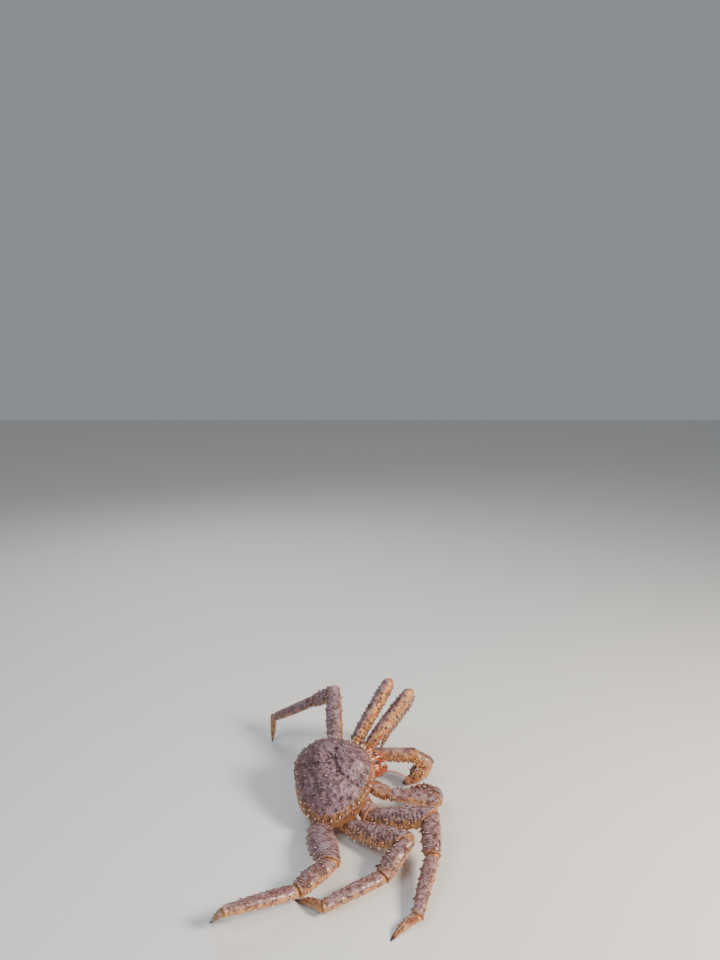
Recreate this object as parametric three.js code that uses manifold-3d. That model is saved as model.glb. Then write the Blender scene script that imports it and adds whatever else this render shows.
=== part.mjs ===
// A red king crab, life size, standing on the floor with its body rolled and its claws folded in.
// Millimetres and degrees, +Z up. The head looks along +X and the animal's left side is +Y.
import * as THREE from "three";
import { mergeVertices } from "three/addons/utils/BufferGeometryUtils.js";
import Module from "manifold-3d";

const wasm = await Module();
wasm.setup();
const vec = (x, y, z) => new THREE.Vector3(x, y, z);
const rad = THREE.MathUtils.degToRad;

// Driving sizes
const CARAPACE_LENGTH = 135;
const GAP = 0.3;
const BODY_PLACE = vec(15.6, 12.2, 83);
const BODY_YAW = 11;
const NOSE_UP = 19;
const LEFT_SIDE_UP = 23;
const STANCE_CENTRE = vec(19.05, 1.92, 0);
const SEED = 7;
// Levels on the body in carapace lengths, from the middle of the shell
const MARGIN_LEVEL = -0.115;
const FLANK_FLOOR = -0.255;
const DOME_HEIGHT = 0.255;

// Limb lengths by rank: hip, merus, carpus, propodus (or palm), dactyl (or finger)
const LENGTHS = {
  1: [42, 79, 30, 40, 34],
  2: [46, 112, 62, 98, 50],
  3: [46, 118, 66, 101, 54],
  4: [44, 118, 62, 108, 50],
};
// Where each rank's hip leaves the breast, in carapace lengths: forward, out, up
const HIP_ROOTS = {
  1: [0.27, 0.17, -0.24],
  2: [0.15, 0.22, -0.26],
  3: [0.01, 0.24, -0.26],
  4: [-0.19, 0.23, -0.25],
};
// The pose: for each segment its bearing from +X towards +Y, and its rise above the level
const POSE = {
  right_1: [[-24, -10], [-9, -3], [90, -17], [125, -18], [116, -26]],
  right_2: [[-64, -24], [-24, 17], [-94, -27], [-108, -13], [-144]],
  right_3: [[-91, -30], [-36, 12], [-131, -22], [-148, -2], [145]],
  right_4: [[-125, -20], [-77, 10], [-143, -15], [-151, 7], [139]],
  left_1: [[58, -7], [-3, -1], [0, -38], [-172, -50], [180, -28]],
  left_2: [[25, 29], [30, 43], [92, -46], [117, -54], [173]],
  left_3: [[36, 40], [38, 49], [106, -49], [133, -59], [-169]],
  left_4: [[56, 30], [94, 31], [139, -35], [160, -31], [-113]],
};
const SEGMENTS = ["hip", "merus", "carpus", "propodus", "dactyl"];
const CLAW_SEGMENTS = ["hip", "merus", "carpus", "palm", "finger"];

// Half height and half thickness along each segment, at equal steps from root to end
const LEG_SHAPES = {
  hip: { high: [12.5, 14, 14], thick: [10.5, 12, 11.5] },
  merus: { high: [11.5, 15.5, 17, 17, 14.5], thick: [9.5, 11.5, 12, 12, 10.5] },
  carpus: { high: [12, 14, 14.5, 12], thick: [9.5, 11, 11.2, 9.8] },
  propodus: { high: [10.2, 10.8, 10.4, 9.4, 7.8], thick: [8.4, 8.8, 8.4, 7.6, 6.6] },
  dactyl: { high: [7, 6.6, 5.6, 4, 1.8], thick: [5.8, 5.4, 4.4, 3.2, 1.5] },
};
const CLAW_SHAPES = {
  hip: { high: [12.5, 14, 13.5], thick: [10.5, 12, 11] },
  merus: { high: [10, 13, 14, 14], thick: [9, 11, 12, 11.5] },
  carpus: { high: [12, 15, 15.5], thick: [11, 13, 13] },
  palm: { high: [13, 16.5, 17, 15], thick: [10, 12, 11.5, 9.5] },
  finger: { high: [7, 6.6, 5.4, 2.4], thick: [6, 5.6, 4.5, 2.1] },
};
const LEFT_CLAW_SCALE = 0.8;
const LEFT_CLAW_BREADTH = 0.88;
// The near hind leg's merus is the broadest
const BROAD_MERUS = { high: [15, 20, 21.5, 19.5, 15], thick: [9.5, 11.5, 12, 12, 10.5] };

// Spine rows: the row's angle from the upper edge, how many spines, their length
const LEG_SPINES = {
  hip: [[25, 2, 4.5], [-30, 2, 4.5]],
  merus: [[0, 7, 6], [58, 5, 4.6], [-58, 5, 4.6], [145, 4, 4.6], [-145, 4, 4.6]],
  carpus: [[0, 4, 7], [60, 3, 5], [-60, 3, 5], [140, 2, 4.5], [-140, 2, 4.5]],
  propodus: [[0, 6, 5], [70, 4, 3.6], [-70, 4, 3.6], [180, 4, 3.6]],
  dactyl: [[0, 3, 3]],
};
const CLAW_SPINES = {
  hip: [[20, 2, 4.5]],
  merus: [[0, 4, 7], [60, 3, 5], [-60, 3, 5]],
  carpus: [[0, 3, 8], [50, 3, 7], [-50, 3, 7], [100, 2, 5.5]],
  palm: [[0, 4, 7], [45, 3, 6], [-45, 3, 6], [90, 2, 5]],
  finger: [[0, 2, 3.4]],
};

const SHELL = new THREE.Color(0.36, 0.2, 0.21);
const PALE = new THREE.Color(0.72, 0.5, 0.3);
const DARK = new THREE.Color(0.03, 0.02, 0.03);
const FEELER = new THREE.Color(0.72, 0.32, 0.22);
const ROUGHNESS = 0.45;
function finish(color) {
  return new THREE.MeshStandardMaterial({ color, roughness: ROUGHNESS, metalness: 0 });
}

// A repeatable random draw from 0 to 1
const DRAW_STEP = 16807;
const DRAW_RANGE = 2147483647;
let draws = SEED;
function draw() {
  draws = (draws * DRAW_STEP) % DRAW_RANGE;
  return draws / DRAW_RANGE;
}
function vary(share) {
  return 1 + share * (2 * draw() - 1);
}

// Smooth value at t from 0 to 1 through equally spaced values
function along(values, t) {
  const at = THREE.MathUtils.clamp(t, 0, 1) * (values.length - 1);
  const i = Math.min(Math.floor(at), values.length - 2);
  const u = at - i;
  const [p, q] = [values[i], values[i + 1]];
  const leave = (q - values[Math.max(i - 1, 0)]) / 2;
  const arrive = (values[Math.min(i + 2, values.length - 1)] - p) / 2;
  const fall = 1 - u;
  return fall * fall * ((1 + 2 * u) * p + u * leave) + u * u * ((3 - 2 * u) * q - fall * arrive);
}

// A closed three.js geometry as a solid, with every face moved out by grow
function solid(geometry, grow = 0) {
  const bare = new THREE.BufferGeometry();
  bare.setAttribute("position", geometry.getAttribute("position").clone());
  bare.setIndex(geometry.index.clone());
  const merged = mergeVertices(bare, 1e-3);
  const corners = [...merged.index.array];
  const faces = [];
  for (let i = 0; i < corners.length; i += 3) {
    const [a, b, c] = corners.slice(i, i + 3);
    if (a !== b && b !== c && a !== c) faces.push(a, b, c);
  }
  const points = new Float32Array(merged.getAttribute("position").array);
  function make() {
    const mesh = new wasm.Mesh({
      numProp: 3,
      vertProperties: points,
      triVerts: new Uint32Array(faces),
    });
    return new wasm.Manifold(mesh);
  }
  let made = make();
  if (made.volume() < 0) {
    for (let i = 0; i < faces.length; i += 3) {
      [faces[i], faces[i + 1]] = [faces[i + 1], faces[i]];
    }
    made = make();
  }
  if (!grow) return made;
  // Each corner goes out along its mean normal, far enough for all of its faces to clear
  function corner(i) {
    return vec(points[3 * i], points[3 * i + 1], points[3 * i + 2]);
  }
  const around = Array.from({ length: points.length / 3 }, () => []);
  for (let i = 0; i < faces.length; i += 3) {
    const [a, b, c] = faces.slice(i, i + 3).map(corner);
    const normal = b.sub(a).cross(c.sub(a)).normalize();
    for (let k = 0; k < 3; k++) around[faces[i + k]].push(normal);
  }
  around.forEach((normals, i) => {
    const mean = normals.reduce((sum, n) => sum.add(n), vec(0, 0, 0)).normalize();
    const least = Math.min(...normals.map((n) => n.dot(mean)));
    mean.multiplyScalar(grow / Math.max(least, 0.5));
    points[3 * i] += mean.x;
    points[3 * i + 1] += mean.y;
    points[3 * i + 2] += mean.z;
  });
  return make();
}

// A tube through stations, each an ellipse of half sizes a and b on its side and up directions
function sweep(stations, sides) {
  const last = stations.length - 1;
  const geometry = new THREE.CylinderGeometry(1, 1, 1, sides, last);
  const place = geometry.getAttribute("position");
  for (let i = 0; i < place.count; i++) {
    const s = stations[Math.round((0.5 + place.getY(i)) * last)];
    const v = s.at.clone();
    v.addScaledVector(s.side, s.a * place.getX(i));
    v.addScaledVector(s.up, s.b * place.getZ(i));
    place.setXYZ(i, v.x, v.y, v.z);
  }
  return geometry;
}

// A cone that stands on a surface point with its root sunk in
const SPINE_WIDTH = 0.3;
const SPINE_LEAST_RADIUS = 0.4;
const SPINE_SUNK = 1.2;
function spine(at, direction, length, sides = 4) {
  const radius = SPINE_WIDTH * length + SPINE_LEAST_RADIUS;
  const height = length + SPINE_SUNK;
  const cone = new THREE.ConeGeometry(radius, height, sides);
  cone.translate(0, height / 2 - SPINE_SUNK, 0);
  cone.applyQuaternion(new THREE.Quaternion().setFromUnitVectors(vec(0, 1, 0), direction));
  cone.translate(at.x, at.y, at.z);
  return solid(cone);
}

// The body frame, in which one unit is the carapace length
const BODY = new THREE.Matrix4()
  .makeRotationFromEuler(new THREE.Euler(rad(LEFT_SIDE_UP), rad(-NOSE_UP), rad(BODY_YAW), "ZYX"))
  .setPosition(BODY_PLACE);
function inBody(x, y, z) {
  return vec(x, y, z).multiplyScalar(CARAPACE_LENGTH);
}
function toWorld(made) {
  return made.transform([...BODY.elements]);
}

// Half outline of the carapace: forward and out, from the brow round to the tail, in carapace lengths
const OUTLINE = [
  [0.47, 0], [0.465, 0.09], [0.41, 0.2], [0.3, 0.34], [0.13, 0.485], [-0.05, 0.565],
  [-0.2, 0.58], [-0.39, 0.525], [-0.51, 0.39], [-0.55, 0.19], [-0.555, 0],
];
function outlineRadius(angle) {
  const turn = Math.abs(Math.atan2(Math.sin(angle), Math.cos(angle)));
  const next = OUTLINE.findIndex(([x, y], i) => i > 0 && Math.atan2(y, x) >= turn - 1e-9);
  const [x0, y0] = OUTLINE[next - 1];
  const [x1, y1] = OUTLINE[next];
  const across = (x1 - x0) * Math.sin(turn) - (y1 - y0) * Math.cos(turn);
  return Math.abs((x0 * (y1 - y0) - y0 * (x1 - x0)) / across);
}

// Swellings of the dome: forward, out, reach, height, in carapace lengths
const SWELLINGS = [
  [0.2, 0, 0.17, 0.055], [-0.16, 0, 0.1, 0.035],
  [-0.12, 0.29, 0.17, 0.05], [-0.12, -0.29, 0.17, 0.05],
  [0.02, 0.12, 0.05, -0.02], [0.02, -0.12, 0.05, -0.02], [-0.04, 0, 0.05, -0.02],
];
const DOME_SHOULDER = 2.3;
const DOME_EDGE = 0.62;
function domePoint(angle, share) {
  const radius = outlineRadius(angle);
  const x = radius * share * Math.cos(angle);
  const y = radius * share * Math.sin(angle);
  let z = MARGIN_LEVEL + DOME_HEIGHT * (1 - share ** DOME_SHOULDER) ** DOME_EDGE;
  for (const [bx, by, reach, height] of SWELLINGS) {
    const off = ((x - bx) ** 2 + (y - by) ** 2) / reach ** 2;
    z += height * Math.exp(-off) * (1 - share ** 6);
  }
  return inBody(x, y, z);
}
// Below the rim the flank falls steeply to a flat underside, and leans in more at the face
const WALL_END = 140;
const FLANK_LEAN = 0.05;
const FACE_LEAN = 0.16;
function shellPoint(angle, polar) {
  if (polar <= 90) return domePoint(angle, Math.sin(rad(polar)));
  const fall = Math.min(1, (polar - 90) / (WALL_END - 90));
  const lean = FLANK_LEAN + FACE_LEAN * Math.max(0, Math.cos(angle));
  const inward = Math.min(1, (180 - polar) / (180 - WALL_END));
  const radius = outlineRadius(angle) * (1 - lean * fall * fall) * inward;
  const z = MARGIN_LEVEL + (FLANK_FLOOR - MARGIN_LEVEL) * fall;
  return inBody(radius * Math.cos(angle), radius * Math.sin(angle), z);
}
function carapaceGeometry() {
  const shape = new THREE.SphereGeometry(1, 32, 18);
  const place = shape.getAttribute("position");
  for (let i = 0; i < place.count; i++) {
    const level = THREE.MathUtils.clamp(place.getY(i), -1, 1);
    const polar = THREE.MathUtils.radToDeg(Math.acos(level));
    const angle = Math.atan2(place.getZ(i), place.getX(i));
    const v = shellPoint(angle, polar);
    place.setXYZ(i, v.x, v.y, v.z);
  }
  return shape;
}
function domeNormal(angle, share) {
  const step = 0.02;
  const across = domePoint(angle + step, share).sub(domePoint(angle - step, share));
  const outward = domePoint(angle, share + step).sub(domePoint(angle, share - step));
  return outward.cross(across).normalize();
}

// Spines over the dome, spaced out and mirrored with a little variation, then the rim's and the brow's
const DOME_SPINE = { length: 6.4, apart: 0.095, tries: 2500, reach: 0.85, lean: 0.25 };
const RIM_SPINE = { length: 7, count: 15, share: 0.93, from: 28, over: 134, rise: 0.22 };
const MIDLINE = 0.035;
const BROW_START = 0.4;
function domeSpots() {
  const spots = [];
  for (let tries = 0; tries < DOME_SPINE.tries; tries++) {
    const share = DOME_SPINE.reach * Math.sqrt(draw());
    const angle = Math.PI * draw();
    const p = domePoint(angle, share).divideScalar(CARAPACE_LENGTH);
    if (p.y < MIDLINE || p.x > BROW_START) continue;
    const clear = spots.every((s) => Math.hypot(s.p.x - p.x, s.p.y - p.y) > DOME_SPINE.apart);
    if (clear) spots.push({ p, angle, share });
  }
  return spots;
}
function browSpine(across, share, lean, length, sides = 5) {
  const at = domePoint(Math.atan2(across, OUTLINE[0][0]), share);
  return spine(at, vec(...lean).normalize(), length, sides);
}
function carapaceSpines() {
  const spots = domeSpots();
  const made = [];
  for (const side of [1, -1]) {
    for (const { angle, share } of spots) {
      const turn = side * (angle + 0.02 * (draw() - 0.5));
      const outward = vec(Math.cos(turn), Math.sin(turn), 0);
      const lean = domeNormal(turn, share).addScaledVector(outward, DOME_SPINE.lean * share);
      if (lean.z < 0) lean.negate();
      made.push(spine(domePoint(turn, share), lean.normalize(), DOME_SPINE.length * vary(0.25)));
    }
    for (let i = 0; i < RIM_SPINE.count; i++) {
      const turn = side * rad(RIM_SPINE.from + (i * RIM_SPINE.over) / (RIM_SPINE.count - 1));
      const lean = vec(Math.cos(turn), Math.sin(turn), RIM_SPINE.rise).normalize();
      made.push(spine(domePoint(turn, RIM_SPINE.share), lean, RIM_SPINE.length * vary(0.25)));
    }
  }
  // The brow: a forked beak between the eyes, and a spine outside each eye
  made.push(browSpine(0, 0.97, [1, 0, 0.05], 15, 6));
  made.push(browSpine(0, 0.9, [0.7, 0, 0.75], 7));
  for (const side of [1, -1]) {
    made.push(browSpine(0.045 * side, 0.93, [0.8, 0.25 * side, 0.5], 7.5));
    made.push(browSpine(0.12 * side, 0.95, [0.95, 0.3 * side, 0.1], 8.5));
  }
  return made;
}

// The breast under the shell: half length, half width and half depth, and how far ahead it lies
const BREAST = { long: 0.42, wide: 0.34, deep: 0.155, ahead: 0.03 };
function thoraxGeometry() {
  const shape = new THREE.SphereGeometry(1, 20, 12);
  shape.rotateX(Math.PI / 2);
  shape.scale(...inBody(BREAST.long, BREAST.wide, BREAST.deep));
  shape.translate(...inBody(BREAST.ahead, 0, FLANK_FLOOR));
  return shape;
}

// The tail flap, folded round the back edge and forward under the breast
const TAIL_LINE = [
  [-0.5, -0.12], [-0.56, -0.2], [-0.53, -0.32], [-0.4, -0.395], [-0.18, -0.425], [0.04, -0.425],
];
const TAIL_HALF_WIDTH = [0.13, 0.19, 0.22, 0.22, 0.19, 0.13, 0.05];
const TAIL_HALF_THICKNESS = [0.02, 0.034, 0.036, 0.034, 0.03, 0.026, 0.014];
const TAIL_PLATES = 6;
function tailGeometry() {
  const line = new THREE.CatmullRomCurve3(TAIL_LINE.map(([x, z]) => inBody(x, 0, z)));
  const steps = 14;
  const stations = [];
  for (let i = 0; i <= steps; i++) {
    const t = i / steps;
    const ripple = 1 + 0.06 * Math.cos(2 * Math.PI * TAIL_PLATES * t);
    stations.push({
      at: line.getPoint(t),
      side: vec(0, 1, 0),
      up: line.getTangent(t).cross(vec(0, 1, 0)).normalize(),
      a: CARAPACE_LENGTH * along(TAIL_HALF_WIDTH, t),
      b: CARAPACE_LENGTH * along(TAIL_HALF_THICKNESS, t) * ripple,
    });
  }
  return sweep(stations, 16);
}

// A thin tapering feeler along a curve given in carapace lengths
function feelerGeometry(points, rootRadius, tipRadius, steps) {
  const line = new THREE.CatmullRomCurve3(points.map((p) => inBody(...p)));
  const stations = [];
  for (let i = 0; i <= steps; i++) {
    const t = i / steps;
    const ahead = line.getTangent(t);
    const side = vec(0, 0, 1).cross(ahead).normalize();
    const radius = rootRadius + (tipRadius - rootRadius) * Math.sqrt(t);
    stations.push({ at: line.getPoint(t), side, up: ahead.clone().cross(side), a: radius, b: radius });
  }
  return sweep(stations, 6);
}

// Head parts on the left side; the right ones are their mirror images
const EYE_STALK = [[0.4, 0.045, -0.085], [0.47, 0.06, -0.075], [0.485, 0.062, -0.072]];
const EYE_BALL = [0.5, 0.065, -0.07];
const EYE_RADIUS = 3.6;
const ANTENNA_BASE = [[0.36, 0.13, -0.12], [0.44, 0.15, -0.125], [0.5, 0.165, -0.12]];
const ANTENNA_WHIP = [
  [0.47, 0.16, -0.121], [0.56, 0.2, -0.1], [0.7, 0.3, -0.12], [0.84, 0.44, -0.2], [0.9, 0.55, -0.27],
];
const ANTENNULE = [
  [0.39, 0.035, -0.15], [0.47, 0.04, -0.15], [0.54, 0.05, -0.12], [0.6, 0.055, -0.13], [0.63, 0.06, -0.16],
];
const JAW_LINE = [[0.3, 0.075, -0.27], [0.42, 0.078, -0.3], [0.53, 0.07, -0.27], [0.57, 0.06, -0.19]];
const JAW_RADII = [3, 5.4, 6, 5.4, 4.8, 4, 2];
function mirrored(points, side) {
  return points.map(([x, y, z]) => [x, y * side, z]);
}
function jawGeometry(side) {
  const points = mirrored(JAW_LINE, side).map((p) => inBody(...p));
  const line = new THREE.CatmullRomCurve3(points);
  const stations = JAW_RADII.map((radius, i) => {
    const t = i / (JAW_RADII.length - 1);
    const ahead = line.getTangent(t);
    const across = vec(0, 1, 0).addScaledVector(ahead, -ahead.y).normalize();
    const up = ahead.clone().cross(across);
    return { at: line.getPoint(t), side: across, up, a: radius * 0.8, b: radius };
  });
  return sweep(stations, 8);
}

const nodes = [];
function addNode(name, core, grown, options = {}) {
  nodes.push({ name, core, grown, spines: [], color: SHELL, frame: BODY, ...options });
}
// Adds a node of the body made of closed shapes that join, with its grown copy beside it
function addBodyNode(name, shapes, options = {}) {
  function joined(grow) {
    return toWorld(wasm.Manifold.union(shapes.map((shape) => solid(shape, grow))));
  }
  addNode(name, joined(0), joined(GAP), options);
}

addBodyNode("carapace", [carapaceGeometry()], { spines: carapaceSpines().map(toWorld) });
addBodyNode("thorax", [thoraxGeometry()], { color: PALE });
addBodyNode("abdomen", [tailGeometry()], { color: PALE });
for (const [word, side] of [["left", 1], ["right", -1]]) {
  const stalk = feelerGeometry(mirrored(EYE_STALK, side), 2.6, 2.4, 3);
  const ball = new THREE.SphereGeometry(EYE_RADIUS, 10, 7);
  ball.translate(...inBody(...mirrored([EYE_BALL], side)[0]));
  addBodyNode("eye_" + word, [stalk, ball], { color: DARK });

  const base = feelerGeometry(mirrored(ANTENNA_BASE, side), 4.6, 3.2, 4);
  const whip = feelerGeometry(mirrored(ANTENNA_WHIP, side), 1.7, 0.45, 12);
  addBodyNode("antenna_" + word, [base, whip], { color: FEELER });

  const small = feelerGeometry(mirrored(ANTENNULE, side), 2.4, 0.8, 8);
  addBodyNode("antennule_" + word, [small], { color: FEELER });
  addBodyNode("maxilliped_" + word, [jawGeometry(side)], { color: PALE });
}

// Limbs: each segment's place from the pose, then its solid between the two joints
function heading(bearing, rise) {
  const level = Math.cos(rad(rise));
  return vec(level * Math.cos(rad(bearing)), level * Math.sin(rad(bearing)), Math.sin(rad(rise)));
}
const TIP_UNDER_FLOOR = 1.2;
function limbLine(name) {
  const [word, rank] = name.split("_");
  const [forward, out, up] = HIP_ROOTS[rank];
  const root = inBody(forward, word === "left" ? out : -out, up).applyMatrix4(BODY);
  const joints = [root];
  const lengths = LENGTHS[rank].map((l, i) => (name === "left_1" && i > 2 ? l * LEFT_CLAW_SCALE : l));
  POSE[name].forEach(([bearing, rise], i) => {
    const from = joints[i];
    const down = Math.asin(Math.min(1, (from.z + TIP_UNDER_FLOOR) / lengths[i]));
    const angle = rise === undefined ? -THREE.MathUtils.radToDeg(down) : rise;
    joints.push(from.clone().addScaledVector(heading(bearing, angle), lengths[i]));
  });
  return joints;
}
const BOW = { hip: 0, merus: 2.5, carpus: 1.5, propodus: 1, dactyl: 3.5, palm: 0, finger: 2.5 };
function segmentStations(from, to, dorsal, shape, scale, bow, pointed) {
  const length = from.distanceTo(to);
  const ahead = to.clone().sub(from).normalize();
  const side = ahead.clone().cross(dorsal).normalize();
  const up = side.clone().cross(ahead).normalize();
  function row(t, shrink) {
    const inside = THREE.MathUtils.clamp(t, 0, 1);
    const at = from.clone().addScaledVector(ahead, length * t);
    at.addScaledVector(up, bow * 4 * inside * (1 - inside));
    const a = scale * along(shape.thick, inside) * shrink;
    const b = scale * along(shape.high, inside) * shrink;
    return { at, side, up, a, b };
  }
  const rootRound = (scale * shape.thick[0]) / length;
  const endRound = (scale * shape.thick[shape.thick.length - 1]) / length;
  const rows = [row(-0.92 * rootRound, 0.38), row(-0.55 * rootRound, 0.83)];
  const steps = length > 80 ? 4 : length > 40 ? 3 : 2;
  for (let i = 0; i <= steps; i++) rows.push(row(i / steps, 1));
  if (!pointed) rows.push(row(1 + 0.55 * endRound, 0.83), row(1 + 0.92 * endRound, 0.38));
  return rows;
}
const SPINE_LEAN = 0.32;
const ROW_WANDER = 9;
function segmentSpines(stations, rows, scale, skipEnds) {
  const made = [];
  const first = 2;
  const last = stations.length - 1 - skipEnds;
  for (const [angle, count, length] of rows) {
    for (let i = 0; i < count; i++) {
      const at = first + ((last - first) * (i + 0.55)) / (count + 0.1);
      const k = Math.min(Math.floor(at), last - 1);
      const u = at - k;
      const [s, e] = [stations[k], stations[k + 1]];
      const turn = rad(angle + ROW_WANDER * (2 * draw() - 1));
      const a = s.a + (e.a - s.a) * u;
      const b = s.b + (e.b - s.b) * u;
      const place = s.at.clone().lerp(e.at, u);
      place.addScaledVector(s.side, a * Math.sin(turn) * 0.97);
      place.addScaledVector(s.up, b * Math.cos(turn) * 0.97);
      const out = s.side.clone().multiplyScalar(Math.sin(turn) / a);
      out.addScaledVector(s.up, Math.cos(turn) / b).normalize();
      out.addScaledVector(e.at.clone().sub(s.at).normalize(), SPINE_LEAN).normalize();
      made.push(spine(place, out, length * scale * vary(0.2)));
    }
  }
  return made;
}

// The fixed finger grows from the palm's lower edge beside the hinged one
const THUMB_RADII = [5, 5.6, 5.4, 5, 4.4, 3.6, 2];
const THUMB_REACH = 0.93;
function thumbGeometry(from, end, reachWay, lower, square, scale) {
  const reach = LENGTHS[1][4] * scale * THUMB_REACH;
  const start = from.clone().lerp(end, 0.55).addScaledVector(lower, 6 * scale);
  const knuckle = end.clone().addScaledVector(lower, 9.2 * scale);
  const tip = end.clone().addScaledVector(reachWay, reach).addScaledVector(lower, 3.6 * scale);
  const middle = knuckle.clone().lerp(tip, 0.5).addScaledVector(lower, 2);
  const line = new THREE.CatmullRomCurve3([start, knuckle, middle, tip]);
  const stations = THUMB_RADII.map((radius, i) => {
    const t = i / (THUMB_RADII.length - 1);
    const on = line.getTangent(t);
    const side = square.clone().addScaledVector(on, -square.dot(on)).normalize();
    const up = on.clone().cross(side);
    return { at: line.getPoint(t), side, up, a: radius * scale * 0.95, b: radius * scale * 0.85 };
  });
  return sweep(stations, 8);
}

// Mitre cuts share each bend between the two segments that meet there
function mitred(made, joints, headings, i, word) {
  let cut = made;
  if (i > 0) {
    const n = headings[i - 1].clone().add(headings[i]).normalize();
    cut = cut.trimByPlane(n.toArray(), n.dot(joints[i]) + GAP / 2);
  }
  if (i < 4 && word !== "palm") {
    const n = headings[i + 1].clone().add(headings[i]).normalize().negate();
    cut = cut.trimByPlane(n.toArray(), n.dot(joints[i + 1]) + GAP / 2);
  }
  return cut;
}

function shapeOf(name, word) {
  if (name === "right_4" && word === "merus") return BROAD_MERUS;
  return (name.endsWith("_1") ? CLAW_SHAPES : LEG_SHAPES)[word];
}

for (const name of Object.keys(POSE)) {
  const claw = name.endsWith("_1");
  const words = claw ? CLAW_SEGMENTS : SEGMENTS;
  const joints = limbLine(name);
  const headings = words.map((_, i) => joints[i + 1].clone().sub(joints[i]).normalize());
  // The limb's hinges share one direction, square to the plane it folds in
  const hinge = headings[1].clone().cross(headings[2]);
  hinge.add(headings[2].clone().cross(headings[3])).normalize();
  words.forEach((word, i) => {
    const ahead = headings[i];
    const square = hinge.clone().addScaledVector(ahead, -hinge.dot(ahead)).normalize();
    const lower = ahead.clone().cross(square);
    const dorsal = lower.clone().negate();
    const scale = name === "left_1" && i > 0 ? LEFT_CLAW_BREADTH : 1;
    const pointed = word === "dactyl" || word === "finger";
    const shape = shapeOf(name, word);
    const stations = segmentStations(joints[i], joints[i + 1], dorsal, shape, scale, BOW[word], pointed);
    const sides = word === "merus" || word === "palm" ? 10 : 8;
    const shapes = [sweep(stations, sides)];
    if (word === "palm") {
      shapes.push(thumbGeometry(joints[i], joints[i + 1], headings[i + 1], lower, square, scale));
    }
    const core = wasm.Manifold.union(shapes.map((made) => solid(made)));
    const grown = wasm.Manifold.union(shapes.map((made) => solid(made, GAP)));
    const rows = (claw ? CLAW_SPINES : LEG_SPINES)[word];
    addNode(name + "_" + word, mitred(core, joints, headings, i, word), grown, {
      spines: segmentSpines(stations, rows, scale, pointed ? 1 : 2),
      color: word === "hip" || pointed ? PALE : SHELL,
      frame: new THREE.Matrix4().makeBasis(ahead, square, lower).setPosition(joints[i]),
      limb: name,
      step: i,
    });
  });
}

// Where two cores would meet, the later one is cut clear of the earlier one
function neighbours(a, b) {
  return a.limb && a.limb === b.limb && Math.abs(a.step - b.step) === 1;
}
for (let j = 1; j < nodes.length; j++) {
  for (let i = 0; i < j; i++) {
    if (neighbours(nodes[i], nodes[j]) && !nodes[i].name.endsWith("palm")) continue;
    if (nodes[j].core.intersect(nodes[i].grown).volume() < 1e-6) continue;
    nodes[j].core = nodes[j].core.subtract(nodes[i].grown);
  }
}

function largest(made) {
  return made.decompose().reduce((a, b) => (b.volume() > a.volume() ? b : a));
}
// Spines join their node, apart from any that would touch another node
function overlaps(a, b) {
  return a.intersect(b).volume() > 1e-9;
}
function clears(made, node, other) {
  if (other === node) return true;
  if (other.solid && overlaps(made, other.solid)) return false;
  return !overlaps(made, neighbours(node, other) ? other.core : other.grown);
}
for (const node of nodes) {
  const kept = node.spines.filter((made) => nodes.every((other) => clears(made, node, other)));
  node.solid = wasm.Manifold.union([node.core, ...kept]);
}

// Each mesh is kept in its own segment's frame, and the crab stands over the middle of its stance
const crab = new THREE.Group();
crab.position.copy(STANCE_CENTRE).negate();
for (const node of nodes) {
  const whole = largest(largest(node.solid).trimByPlane([0, 0, 1], 0));
  const data = whole.getMesh();
  const geometry = new THREE.BufferGeometry();
  geometry.setAttribute("position", new THREE.BufferAttribute(new Float32Array(data.vertProperties), 3));
  geometry.setIndex(new THREE.BufferAttribute(new Uint32Array(data.triVerts), 1));
  geometry.applyMatrix4(node.frame.clone().invert());
  geometry.computeVertexNormals();
  const mesh = new THREE.Mesh(geometry, finish(node.color));
  mesh.name = node.name;
  mesh.applyMatrix4(node.frame);
  crab.add(mesh);
}

export default crab;
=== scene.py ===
"""A red king crab at life size, dressed over its frame of solids. The frame is in metres, +Z up."""

import math
import random

import bmesh
import bpy
import numpy as np
from mathutils import Matrix, Vector, kdtree, noise


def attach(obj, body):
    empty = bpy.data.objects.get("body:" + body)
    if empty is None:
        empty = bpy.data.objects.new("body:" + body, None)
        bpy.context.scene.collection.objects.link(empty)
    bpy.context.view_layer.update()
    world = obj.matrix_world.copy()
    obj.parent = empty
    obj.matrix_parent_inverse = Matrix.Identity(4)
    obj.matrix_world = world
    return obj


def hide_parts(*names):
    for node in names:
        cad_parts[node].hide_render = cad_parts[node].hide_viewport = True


bl_info = {
    "name": "Red king crab",
    "version": (1, 0, 0),
    "blender": (4, 5, 0),
    "location": "3D View > Sidebar > Crab",
    "description": "Dresses the crab's solids with spiny wet shell, joints, eyes and feelers",
    "category": "Add Mesh",
}

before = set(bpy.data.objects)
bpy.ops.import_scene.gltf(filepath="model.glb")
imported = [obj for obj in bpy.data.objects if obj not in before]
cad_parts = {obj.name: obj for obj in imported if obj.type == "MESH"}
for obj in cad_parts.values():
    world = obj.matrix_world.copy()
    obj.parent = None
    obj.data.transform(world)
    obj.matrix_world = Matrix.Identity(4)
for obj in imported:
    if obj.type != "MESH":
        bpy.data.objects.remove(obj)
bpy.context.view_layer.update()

# Driving sizes, the same as the solids', with turns in degrees
MM = 0.001
SHELL_LENGTH = 135 * MM
STANCE_CENTRE = Vector((19.05, 1.92, 0)) * MM
BODY_PLACE = Vector((15.6, 12.2, 83)) * MM
BODY_YAW = 11
NOSE_UP = 19
LEFT_SIDE_UP = 23
SEED = 7
# Levels and height of the dome and its flanks, in shell lengths
MARGIN_LEVEL = -0.115
FLANK_FLOOR = -0.255
DOME_HEIGHT = 0.255
DOME_EDGE_POWER = 2.3
DOME_FULLNESS = 0.62
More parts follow.
